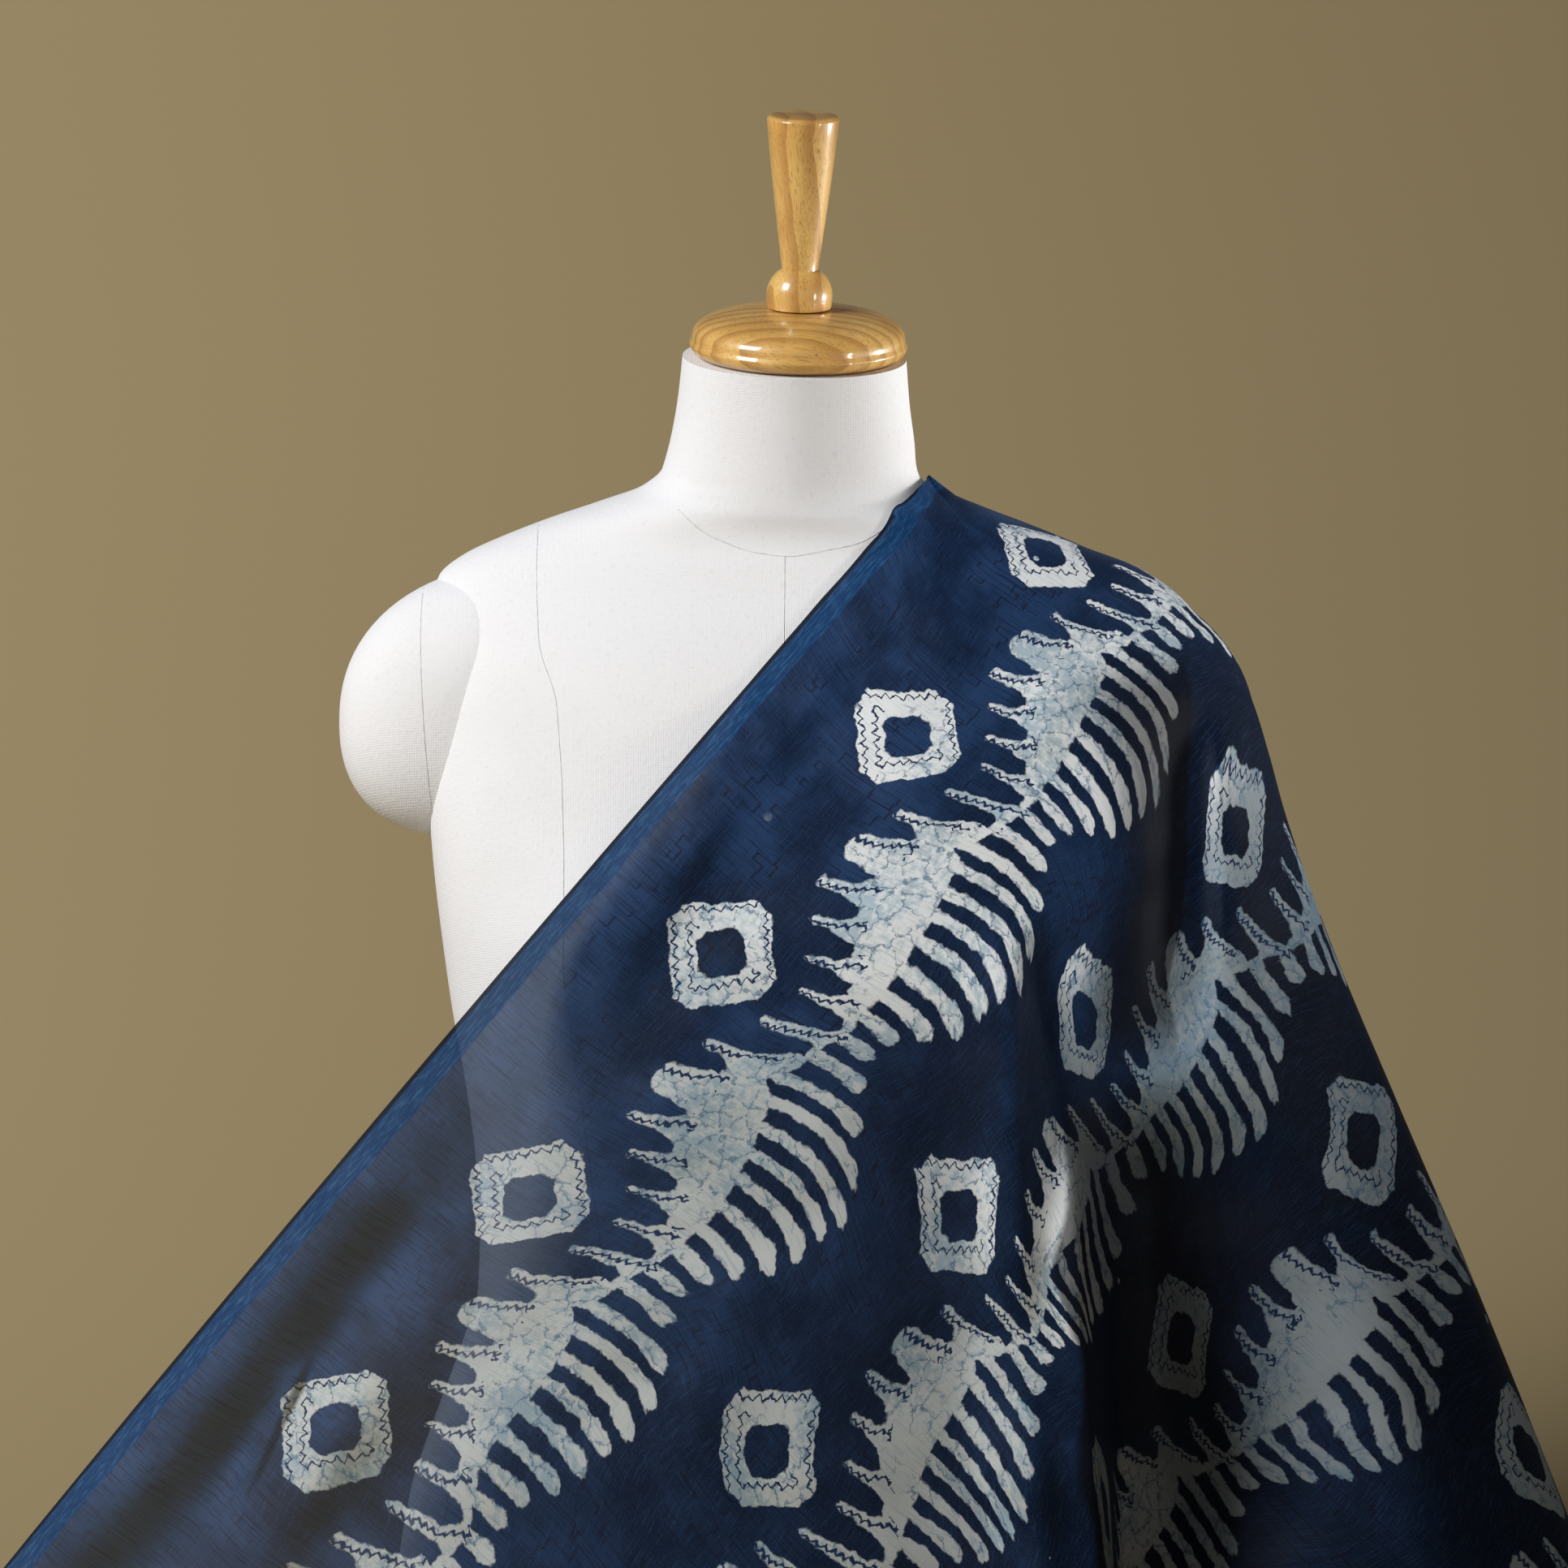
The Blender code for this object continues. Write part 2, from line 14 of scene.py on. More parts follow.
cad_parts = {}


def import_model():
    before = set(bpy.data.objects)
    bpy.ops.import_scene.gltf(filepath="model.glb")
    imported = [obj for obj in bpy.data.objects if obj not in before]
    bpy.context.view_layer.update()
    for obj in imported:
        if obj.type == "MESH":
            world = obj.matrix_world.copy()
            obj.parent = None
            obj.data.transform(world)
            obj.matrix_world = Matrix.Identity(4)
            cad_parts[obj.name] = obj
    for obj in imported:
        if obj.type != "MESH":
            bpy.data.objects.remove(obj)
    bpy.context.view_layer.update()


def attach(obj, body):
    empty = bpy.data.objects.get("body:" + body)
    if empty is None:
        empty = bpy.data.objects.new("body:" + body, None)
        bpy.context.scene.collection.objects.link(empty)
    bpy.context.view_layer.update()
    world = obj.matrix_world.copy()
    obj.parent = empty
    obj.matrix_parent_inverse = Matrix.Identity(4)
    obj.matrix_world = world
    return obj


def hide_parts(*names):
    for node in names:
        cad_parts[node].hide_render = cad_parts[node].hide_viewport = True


# ---------------------------------------------------------------- the form's sizes, as in the solids
TURN = math.radians(-7.0)
GAP = 0.0004
FORM_COLUMNS = ("z", "half", "front", "back", "x", "y", "pitch", "roll", "power")
FORM_ROWS = (
    (0.000, 0.196, 0.108, 0.122, 0.000, 0.000, 0.0, 0.0, 2.25),
    (0.045, 0.200, 0.112, 0.126, 0.000, 0.000, 0.0, 0.0, 2.25),
    (0.090, 0.194, 0.111, 0.122, 0.000, 0.000, 0.0, 0.0, 2.25),
    (0.130, 0.181, 0.106, 0.111, 0.000, 0.000, 0.0, 0.0, 2.25),
    (0.165, 0.168, 0.099, 0.098, 0.000, 0.000, 0.0, 0.0, 2.30),
    (0.195, 0.159, 0.095, 0.089, 0.000, 0.000, 0.0, 0.0, 2.30),
    (0.225, 0.158, 0.095, 0.087, 0.000, 0.000, 0.0, 0.0, 2.30),
    (0.260, 0.160, 0.098, 0.090, 0.000, 0.000, 0.0, 0.0, 2.30),
    (0.300, 0.165, 0.104, 0.096, 0.000, 0.000, 0.0, 0.0, 2.35),
    (0.335, 0.171, 0.107, 0.101, 0.000, 0.000, 0.0, 0.0, 2.40),
    (0.370, 0.176, 0.107, 0.105, 0.000, 0.000, 0.0, 0.0, 2.40),
    (0.410, 0.181, 0.103, 0.108, 0.000, 0.001, 0.0, 0.2, 2.40),
    (0.450, 0.184, 0.096, 0.108, 0.000, 0.002, 0.0, 0.6, 2.35),
    (0.490, 0.185, 0.086, 0.103, 0.000, 0.003, 0.0, 1.0, 2.30),
    (0.522, 0.184, 0.074, 0.094, 0.000, 0.004, 0.0, 1.4, 2.20),
    (0.542, 0.180, 0.065, 0.083, 0.000, 0.005, 0.0, 1.7, 2.15),
    (0.553, 0.166, 0.061, 0.077, -0.001, 0.005, 0.5, 2.0, 2.10),
    (0.563, 0.146, 0.058, 0.072, -0.001, 0.005, 1.5, 2.0, 2.10),
    (0.573, 0.121, 0.057, 0.067, -0.002, 0.004, 3.0, 2.0, 2.10),
    (0.582, 0.095, 0.057, 0.062, -0.003, 0.002, 5.0, 2.0, 2.05),
    (0.590, 0.0740, 0.056, 0.059, -0.0035, 0.000, 6.5, 2.0, 2.00),
    (0.600, 0.0630, 0.055, 0.056, -0.0035, -0.002, 8.0, 2.0, 2.00),
    (0.616, 0.0598, 0.054, 0.055, -0.002, -0.005, 10.0, 2.0, 2.00),
    (0.635, 0.0568, 0.053, 0.053, -0.001, -0.009, 12.0, 2.4, 2.00),
    (0.6555, 0.0548, 0.052, 0.052, 0.000, -0.014, 12.0, 2.7, 2.00),
)
BUST_X, BUST_Z, BUST_WIDE, BUST_HIGH, BUST_OUT = 0.088, 0.352, 0.052, 0.056, 0.020
BODY_SIDES, BODY_RINGS, BODY_SHARP = 176, 150, math.radians(50)

CAP_RADIUS, CAP_SHIFT, CAP_POWER, CAP_LIP, CAP_RIM, CAP_DOME = 0.0536, 0.0018, 2.5, 0.006, 0.010, 0.014
BALL_RADIUS, BALL_HEIGHT, BALL_SKIRT, BALL_WAIST, BALL_STEP = 0.0162, 0.0190, 0.0060, 0.975, 0.0010
HANDLE_FOOT, HANDLE_TOP, HANDLE_LENGTH, HANDLE_LIP, HANDLE_TAPER = 0.0088, 0.0176, 0.0755, 0.0015, 1.15
TURNING_SIDES, DOME_STEPS, HANDLE_STEPS, BALL_STEPS = 96, 26, 10, 18
WOOD_EASE, WOOD_SHARP = 0.0007, math.radians(38)
STUB_POWER, STUB_SIDES, STUB_RINGS = 2.3, 72, 48
STUBS = {                          # side, x, y, z, out, deep, high, drop
    "arm_stub_left": (-1, 0.150, 0.004, 0.487, 0.0795, 0.053, 0.067, 0.012),
    "arm_stub_right": (1, 0.150, 0.004, 0.481, 0.0735, 0.052, 0.067, 0.016),
}
SEAM_RADIUS, SEAM_STEP, SEAM_EASES = 0.00026, 0.003, 4
SEAMS = {                          # side seen from, and the seam's points across and up
    "neck": (-1, ((-0.0582, 0.5813), (-0.0464, 0.5699), (-0.0249, 0.5609), (-0.0033, 0.5581),
                  (0.0301, 0.5648), (0.0458, 0.5746), (0.0556, 0.5863))),
    "neck_back": (1, ((-0.0582, 0.5813), (-0.0400, 0.5770), (0.0000, 0.5760), (0.0400, 0.5790),
                      (0.0556, 0.5863))),
    "centre": (-1, ((-0.0064, 0.5585), (-0.0068, 0.5223), (-0.0072, 0.4365), (-0.0072, 0.0))),
    "centre_back": (1, ((0.0040, 0.5760), (0.0080, 0.4500), (0.0100, 0.0000))),
    "princess_left": (-1, ((-0.1279, 0.5763), (-0.1275, 0.5427), (-0.1258, 0.5130), (-0.1171, 0.4915),
                           (-0.1140, 0.4527), (-0.1126, 0.4137), (-0.1123, 0.3591), (-0.0950, 0.2200),
                           (-0.1180, 0.0000))),
    "princess_right": (-1, ((0.1060, 0.5600), (0.1020, 0.5130), (0.1000, 0.4137), (0.0980, 0.3591),
                            (0.0800, 0.2200), (0.1050, 0.0000))),
    "princess_back_left": (1, ((-0.1200, 0.5700), (-0.1000, 0.4700), (-0.0800, 0.2200), (-0.1000, 0.0))),
    "princess_back_right": (1, ((0.1200, 0.5600), (0.1100, 0.4700), (0.0900, 0.2200), (0.1150, 0.0))),
    "armhole_left": (-1, ((-0.1849, 0.5420), (-0.1852, 0.5249), (-0.1843, 0.4972), (-0.1828, 0.4694),
                          (-0.1813, 0.4496), (-0.1795, 0.4210))),
}

# ---------------------------------------------------------------- the cloth's sizes, as in the solids
CLOTH_THICK = 0.0012
CLOTH_CLEAR = 0.0018
APEX = (0.0645, -0.002, 0.5980)
SELVEDGE_RUN = 0.892
SELVEDGE_BEND = 0.078
BACK_RUN = 0.190
HEM_UPRIGHT = 0.005
DRAPE_COLUMNS = ("z", "side_x", "side_y", "left_y", "front_y", "back_y", "front_share")
DRAPE_ROWS = (
    (0.5880, 0.0775, -0.002, -0.016, -0.020, 0.021, 0.30),
    (0.5750, 0.1075, -0.006, -0.042, -0.046, 0.045, 0.30),
    (0.5636, 0.1380, -0.009, -0.054, -0.057, 0.057, 0.30),
    (0.5520, 0.1680, -0.013, -0.060, -0.064, 0.066, 0.32),
    (0.5364, 0.1893, -0.016, -0.066, -0.074, 0.076, 0.34),
    (0.5110, 0.2085, -0.018, -0.076, -0.087, 0.088, 0.38),
    (0.4900, 0.2215, -0.019, -0.085, -0.097, 0.095, 0.40),
    (0.4620, 0.2305, -0.020, -0.094, -0.109, 0.103, 0.43),
    (0.4330, 0.2385, -0.020, -0.103, -0.119, 0.110, 0.46),
    (0.3730, 0.2598, -0.018, -0.113, -0.135, 0.120, 0.50),
    (0.2920, 0.2940, -0.014, -0.114, -0.143, 0.128, 0.52),
    (0.2070, 0.3310, -0.008, -0.109, -0.149, 0.136, 0.54),
    (0.0850, 0.3808, -0.002, -0.101, -0.155, 0.143, 0.55),
    (0.0000, 0.4140, 0.004, -0.092, -0.161, 0.150, 0.55),
)
FRONT_POWER, BACK_POWER, BACK_SHARE = 2.3, 2.2, 0.35
FOLD_COLUMNS = ("x_top", "z_top", "x_foot", "crest", "valley", "left", "steep", "right")
FOLDS = {
    "main": (0.117, 0.400, 0.149, 0.024, 0.050, 0.050, 0.013, 0.078),
    "soft_ridge": (0.085, 0.360, 0.121, 0.007, 0.006, 0.026, 0.030, 0.020),
    "outer": (0.240, 0.330, 0.345, 0.008, 0.004, 0.040, 0.040, 0.020),
}
FOLD_END, FOLD_ROOM = 12, 0.100
SELVEDGE_WAVES, SELVEDGE_WAVE_DEEP, SELVEDGE_WAVE_REACH = 2.5, 0.007, 0.230
SELVEDGE_WAVE_TOP, SELVEDGE_WAVE_FULL = 0.360, 0.060
BACK_WAVES, BACK_WAVE_DEEP, BACK_WAVE_TOP, BACK_EDGE_IN = 3, 0.012, 0.420, 0.004

# Finer folds that only the cloth's looks have: short ridges, each from one end to the other, with
# their height, and their reach to the left and to the right of the line.
CREASE_FADE = 0.25                 # a crease fades in and out over this share of its length
CREASE_COLUMNS = ("x_top", "z_top", "x_foot", "z_foot", "height", "left", "right")
CREASES = {
    "selvedge_roll": (0.032, 0.524, -0.073, 0.392, 0.0035, 0.016, 0.0090),
    "chest_hollow": (-0.031, 0.424, -0.083, 0.332, -0.0070, 0.013, 0.0400),
    "shoulder_dip": (0.123, 0.534, 0.156, 0.516, -0.0030, 0.009, 0.0080),
    "shoulder_ridge": (0.125, 0.507, 0.112, 0.460, 0.0025, 0.014, 0.0090),
    "under_arm": (0.190, 0.500, 0.186, 0.316, -0.0130, 0.022, 0.0130),
    "arm_edge": (0.203, 0.492, 0.204, 0.356, 0.0060, 0.006, 0.0240),
    "arm_mid": (0.225, 0.448, 0.247, 0.336, -0.0040, 0.012, 0.0120),
    "sleeve_side": (0.166, 0.484, 0.159, 0.332, 0.0035, 0.024, 0.0090),
    "ridge": (0.101, 0.400, 0.103, 0.184, 0.0110, 0.022, 0.0090),
    "ridge_hollow": (0.120, 0.400, 0.123, 0.240, -0.0080, 0.014, 0.0160),
    "ridge_low": (0.103, 0.176, 0.123, 0.000, 0.0090, 0.024, 0.0110),
    "crest": (0.127, 0.300, 0.146, 0.000, 0.0060, 0.014, 0.0040),
    "valley": (0.167, 0.316, 0.187, 0.048, -0.0270, 0.026, 0.0620),
    "belly": (-0.023, 0.232, -0.058, 0.116, 0.0045, 0.014, 0.0200),
    "waist": (-0.041, 0.360, -0.073, 0.264, 0.0030, 0.018, 0.0260),
    "outer_rise": (0.269, 0.252, 0.327, 0.000, 0.0070, 0.026, 0.0200),
    "outer_low": (0.347, 0.192, 0.379, 0.000, -0.0060, 0.018, 0.0140),
    "tuck": (-0.232, 0.183, -0.266, 0.108, 0.0050, 0.010, 0.0022),
    "corner_ridge": (-0.169, 0.308, -0.341, 0.080, 0.0060, 0.022, 0.0160),
    "corner_groove": (-0.159, 0.272, -0.299, 0.092, -0.0050, 0.012, 0.0140),
    "corner_low": (-0.193, 0.196, -0.261, 0.060, 0.0040, 0.016, 0.0140),
}
FRONT_FINE, CORNER_FINE, BACK_FINE = 250, 60, 58  # columns of the fine grid, under 200,000 triangles
EVEN_SHARE = 0.80                  # the front's columns are even up to here, and closer past it
CORNER_SHARE = 9 / 14              # the back's corner takes this share of its width
TOP_FINE = 9                       # rows from the apex to the first section
LOOK_NEAR, EASE_FROM = 0.05, 0.0008  # where the form is looked for, and a move that is eased in full
LAY_ROUNDS, SPREAD_ROUNDS, EASE_ROUNDS, EASE_MOST = 3, 6, 8, 0.8
FINE_ROWS = ((0.588, 0.548, 34), (0.548, 0.490, 30), (0.490, 0.300, 66), (0.300, HEM_UPRIGHT, 92))
RIPPLES = (                        # soft ripples: length, angle in degrees, height
    (0.083, 74, 0.0008), (0.061, 58, 0.0005), (0.047, 112, 0.0004),
    (0.036, 40, 0.00025), (0.120, 20, 0.0009), (0.029, 86, 0.0002),
)

# ---------------------------------------------------------------- the print, charted in millimetres
# U runs along the front selvedge, upwards, and V away from it. The print repeats along U, and its
# rows repeat along V. A row is a line of squares over a line of combs.
REPEAT = 151.0
ROW_PITCH = 176.5
SQUARE_V = 77.0
ROW_START = 43.0                   # nothing is printed nearer to the selvedge
SQUARE_OUT, SQUARE_OUT_FLAT = 36.8, 31.0
SQUARE_IN, SQUARE_IN_FLAT = 17.5, 14.0
CORNER = 33.5                      # how far a square's corner lies from its middle
STEP_PITCH = 8.0                   # of the stepped lines in a square
LINE_OUT, LINE_IN, LINE_GAP = 31.0, 20.5, 3.0
ROW_TOP = SQUARE_V - 34.0
COMB_START = -22.0                 # U of a comb's left end, from its square
HILL = (                           # the top of a comb's solid part: U, V
    (-22, 150), (-12, 153), (0, 152), (9, 148), (18, 142), (27, 138), (36, 132), (46, 125), (58, 118),
    (76, 116), (99, 118), (110, 123), (119, 130), (129, 142),
)
BODY_FOOT = (                      # and its lower edge
    (-22, 153), (0, 156), (20, 152), (45, 153), (70, 154), (92, 152), (101, 150), (108, 141), (114, 147),
    (122, 152), (129, 153),
)
FINGER_U = (-18.5, -3.4, 12.3, 26, 40, 55, 69, 82.5, 99, 113, 132)
FINGER_END = (186, 174, 172, 179, 190, 198, 202, 208, 207, 199, 186)
HOOK_U = (-34, -12, 8.5, 27, 46, 64.5, 88, 115.5, 139)
HOOK_TIP = (101, 115, 121, 114, 101.5, 91, 91, 101, 115)
HOOK_HALF = (2.0, 2.0, 2.2, 2.0, 2.3, 2.6, 6.6, 2.2, 2.0)
HOOK_LEAN, HOOK_UPRIGHT = 0.16, 128.0
FINGER_PITCH, HOOK_PITCH = 14.8, 19.0  # what an even pitch would be
FINGER_HALF, FINGER_BULB, FINGER_ROUND = 3.2, 1.2, 4.4
FINGER_UNEVEN, PRINT_UNEVEN = 5.0, 5.0
TOWER_TALL = 0.75                  # of the pitch of a faint skyline
CRACK_SCALE = 0.085
DROP_CELL, DROP_RADIUS = 80.0, 2.6
BAND = 10.5                        # width of the selvedge's band

# The cloth's grain against the level: its U axis runs up to the right.
GRAIN_COS, GRAIN_SIN = 0.657, 0.754
FIRST_SQUARE = -276.0              # U of a square, in millimetres from the apex
# Marks of the print, read from the photograph: the column and row of their square, then for
# each kind of mark, by its number, where it shows on the upright plane y = 0: across and up in mm.
MARKS = {
    (-2, 0): {
        "square": {0: (-230.7, 125.3)},
        "finger": {8: (-69.2, 135.5), 9: (-66.4, 156.9)},
    },
    (-1, 0): {
        "square": {0: (-133.8, 239.5)},
        "finger": {0: (-64.3, 178.8), 2: (-44.2, 197.8), 3: (-26.5, 200.7), 5: (0.8, 214.4),
                   6: (14.1, 220.5), 8: (28.6, 251.2), 9: (31.0, 274.2)},
        "hook": {7: (-44.9, 318.1)},
    },
    (0, 0): {
        "corner": {0: (-62.1, 384.5), 1: (-14.8, 387.0), 2: (-9.2, 345.5), 3: (-59.4, 335.5)},
        "finger": {0: (30.1, 296.4), 2: (48.2, 314.5), 3: (65.9, 318.1), 5: (90.3, 335.1),
                   6: (102.8, 338.3), 8: (117.1, 365.6), 9: (119.1, 385.8)},
        "hook": {1: (-19.2, 325.8), 3: (2.8, 357.6), 5: (10.8, 397.8), 7: (50.1, 430.3)},
    },
    (1, 0): {
        "corner": {0: (28.8, 490.1), 1: (74.5, 488.9), 2: (81.7, 455.2), 3: (32.9, 446.0)},
        "finger": {0: (118.7, 405.8), 1: (124.6, 415.5), 2: (135.5, 419.9), 3: (147.5, 419.9),
                   4: (156.7, 422.3), 5: (162.7, 427.5), 6: (169.5, 430.3), 7: (178.7, 443.2),
                   8: (182.6, 460.4), 9: (186.1, 481.7)},
        "hook": {1: (70.9, 440.0), 3: (91.7, 467.2), 5: (95.6, 500.9), 7: (126.0, 529.7)},
    },
    (2, 0): {
        "corner": {0: (96.7, 572.8), 1: (132.7, 566.1), 2: (146.7, 545.3), 3: (108.4, 547.3)},
        "finger": {0: (184.9, 504.1), 1: (187.6, 514.1), 2: (194.8, 517.7), 3: (204.0, 516.9)},
        "hook": {1: (143.6, 534.1), 3: (151.9, 553.7)},
    },
    (-2, 1): {
        "hook": {7: (-20.9, 66.9)},
    },
    (-1, 1): {
        "corner": {0: (-34.6, 140.3), 1: (11.7, 141.5), 2: (10.1, 89.2), 3: (-33.0, 87.2)},
        "finger": {2: (66.2, 57.1), 3: (81.5, 57.9), 5: (102.1, 68.9), 6: (107.3, 72.1),
                   8: (114.9, 103.0), 9: (118.9, 124.9)},
        "hook": {1: (-0.3, 74.6), 3: (23.0, 106.7), 5: (34.7, 152.5), 7: (73.7, 185.7)},
    },
    (0, 1): {
        "corner": {0: (59.1, 256.0), 1: (99.3, 256.0), 2: (99.4, 203.9), 3: (61.2, 207.1)},
        "finger": {0: (117.6, 147.2), 2: (135.7, 165.0), 3: (141.3, 167.9), 6: (144.1, 178.0),
                   8: (155.3, 196.2), 9: (161.3, 216.4)},
        "hook": {1: (93.8, 188.1), 3: (106.2, 220.1), 5: (117.4, 262.9), 7: (134.6, 286.7)},
    },
    (1, 1): {
        "corner": {0: (134.8, 361.2), 1: (156.5, 350.8), 2: (150.2, 300.8), 3: (130.9, 308.5)},
        "finger": {0: (163.2, 237.5), 2: (182.9, 250.8), 3: (191.3, 250.8), 5: (207.4, 259.7),
                   6: (218.2, 262.9), 8: (235.8, 291.9), 9: (239.7, 312.1)},
        "hook": {1: (143.0, 289.5), 3: (161.0, 312.1), 5: (175.3, 355.2), 7: (201.7, 378.5)},
    },
    (2, 1): {
        "corner": {0: (203.5, 449.2), 1: (231.1, 446.8), 2: (227.3, 396.2), 3: (201.6, 401.4)},
        "finger": {0: (242.0, 335.1), 1: (249.6, 347.1), 2: (260.4, 351.2)},
        "hook": {1: (214.2, 380.5), 3: (238.5, 409.1)},
    },
    (0, 2): {
        "finger": {9: (216.6, 63.2)},
        "hook": {7: (179.7, 125.3)},
    },
    (1, 2): {
        "corner": {0: (181.1, 199.1), 1: (204.0, 192.2), 2: (200.6, 142.0), 3: (174.4, 148.8)},
        "finger": {0: (219.3, 85.1), 2: (241.8, 98.5), 3: (258.8, 97.7), 5: (286.1, 105.9),
                   6: (299.0, 107.5), 8: (315.8, 136.3), 9: (319.7, 157.8)},
        "hook": {1: (193.4, 128.6), 3: (209.4, 154.1), 5: (224.9, 195.0), 7: (264.6, 221.7)},
    },
    (2, 2): {
        "corner": {0: (261.5, 298.0), 1: (292.8, 291.1), 2: (294.3, 238.7), 3: (258.5, 249.2)},
        "finger": {0: (321.2, 180.8), 1: (327.5, 192.6), 2: (333.1, 198.2)},
        "hook": {1: (283.9, 222.1)},
    },
    (2, 3): {
        "square": {0: (363.4, 113.2)},
    },
}
PLATE_EASE = 0.0004                # how far the fit may miss a mark
PLATE_PAST, PLATE_FADE = 0.02, 0.35  # past the last mark the fit is held, and then fades out
SELVEDGE_HOLDS = np.linspace(0.0, 0.8, 17)     # places down the front selvedge that stay as they are
LEAST_DROP = 0.35                  # the least share of a step that goes down the flat cloth

OPEN_WEAVE = 0.055                 # the share of light that the open weave lets through
OPEN_LOOSE = 0.072                 # and how much more where the cloth hangs clear of the form
OPEN_INDIGO = (0.780, 0.870, 1.000)
OPEN_PASTE = (0.900, 0.950, 1.000)
INDIGO = (0.0160, 0.0440, 0.1220)
INDIGO_DEEP = (0.0050, 0.0150, 0.0480)
# the dark of the slubs, also used for the painted shade on the ground
INDIGO_SLUB_AND_SHADE = (0.0020, 0.0060, 0.0190)
# paler indigo of threads and specks, also used for the painted back light
INDIGO_PALE_AND_BACKLIT = (0.0350, 0.0850, 0.2000)
MAROON = (0.0085, 0.0060, 0.0150)
PASTE_WHITE = (0.530, 0.565, 0.560)
PASTE_BLUE = (0.315, 0.410, 0.475)
# painted light: the paste's brighter, lit colours
PASTE_LIT = (0.800, 0.830, 0.840)
PASTE_LIT_BLUE = (0.450, 0.560, 0.630)
# the blue of the cracks, also used for the painted shade on the paste
CRACK_BLUE_AND_SHADE = (0.080, 0.160, 0.260)
LINE_BLUE = (0.0120, 0.0300, 0.0900)
BAND_BLUE = (0.0060, 0.0380, 0.1250)
BAND_PALE = (0.0450, 0.1500, 0.2900)
# painted shadow: the near-black laid into the cloth's colour where its deep folds are shaded
FOLD_SHADOW_PAINT = (0.0030, 0.0020, 0.0012)
# Soft strokes on the flat cloth in mm: start u, v, end u, v, rise, full width (below 0 is to the
# other side), fall, and how far each end fades.
# painted shade: a darker pool of indigo in a hollow of the cloth
PAINTED_HOLLOW_SHADE = (60.0, 70.0, -130.0, 70.0, 40.0, 10.0, 45.0, 60.0)
# painted shadows: shade beside the main crest, beside the arm and in a hollow, painted into the colour
PAINTED_SHADOWS = (                         # how dark, and the stroke: by the crest, by the arm, in a hollow
    (0.76, (135.0, 250.0, -260.0, 640.0, 8.0, -130.0, 190.0, 60.0)),
    (0.70, (302.0, 165.0, 200.0, 330.0, 6.0, 48.0, 50.0, 40.0)),
    (0.34, (70.0, 180.0, -190.0, 440.0, 25.0, 35.0, 70.0, 50.0)),
)
# Where a look begins and where it is full, along U or V of the flat cloth in mm.
PAINTED_SHADE_V = (70.0, 270.0)           # painted shade, darker away from the selvedge
# painted shade: darker indigo over the arm
PAINTED_ARM_SHADE_U, PAINTED_ARM_SHADE_V = (190.0, 270.0), (90.0, 170.0)
LOOSE_U, LOOSE_V = (0.0, -110.0), (240.0, 90.0)  # clear of the form
# painted light: paler indigo where the hanging cloth is lit from behind
LOOSE_BACKLIT_V = (85.0, 40.0)
PASTE_LIT_U = (-60.0, 60.0)            # painted light: brighter paste here
# painted shade: duller paste here
PASTE_SHADE_U, PASTE_SHADE_V = (70.0, 120.0), (215.0, 255.0)

CANVAS_PITCH, CANVAS_SLANT = 5200.0, 900.0  # the threads' wave, in radians per metre
CANVAS_WHITE = (0.800, 0.800, 0.820)
CANVAS_SOILED = (0.740, 0.735, 0.740)
CANVAS_THREAD = (0.640, 0.640, 0.650)
THREAD_DARK = (0.560, 0.560, 0.570)
THREAD_PALE = (0.720, 0.720, 0.730)
WOOD_PALE = (0.790, 0.500, 0.155)
WOOD_WARM = (0.660, 0.375, 0.100)
WOOD_RING = (0.390, 0.165, 0.036)
WOOD_PORE = (0.200, 0.080, 0.020)
WOODS = {                          # tilt, centre and ring pitch of the grain
    "cap_wood": ((0.0, math.radians(82), math.radians(-24)), (0.02, 0.085, 0.030), 0.0085),
    "handle_wood": ((math.radians(3), math.radians(4), 0.0), (0.036, 0.020, 0.0), 0.0125),
}
RING_WANDER = 0.014
STAGE_COLOUR = (0.440, 0.345, 0.190)

# ---------------------------------------------------------------- the studio
SWEEP_START, SWEEP_RADIUS = 0.35, 0.90
BACKDROP_FOOT, BACKDROP_TALL, BACKDROP_WIDE = -0.90, 1.15, 0.74
SWEEP_STEPS = 24
FLOOR_WIDE, FLOOR_Z, PAPER_Z = 3.5, -0.0015, -0.0005
CAMERA_PLACE = (-0.0068, -3.0, 0.6028)
CAMERA_DOWN = 3.0
CAMERA_LENS, CAMERA_SENSOR, CAMERA_FAR = 139.75, 36.0, 50.0
LIGHTS = {                         # place, aim, width and height, watts, spread, colour
    "key": ((-1.82, -1.34, 1.85), (0.0, 0.0, 0.45), (0.95, 0.95), 72.0, 180.0, (1.0, 1.0, 1.0)),
    "fill": ((0.5, -2.8, 0.9), (0.0, 0.0, 0.45), (1.2, 1.2), 2.2, 180.0, (0.95, 0.97, 1.0)),
    "strip": ((1.60, 0.20, 0.56), (0.0, 0.0, 0.735), (0.45, 0.6), 0.90, 18.0, (1.0, 0.98, 0.95)),
    "side": ((1.40, -0.95, 0.44), (0.0, 0.0, 0.60), (0.10, 0.7), 0.22, 26.0, (1.0, 0.98, 0.95)),
}
WORLD_COLOUR = (0.90, 0.93, 1.0)
WORLD_STRENGTH = 0.06

# ---------------------------------------------------------------- sums in a shader
def in_math(operation):
    """A method that adds a Math node of one kind."""
    return lambda self, *others: sum_node(self.tree, operation, self, *others)


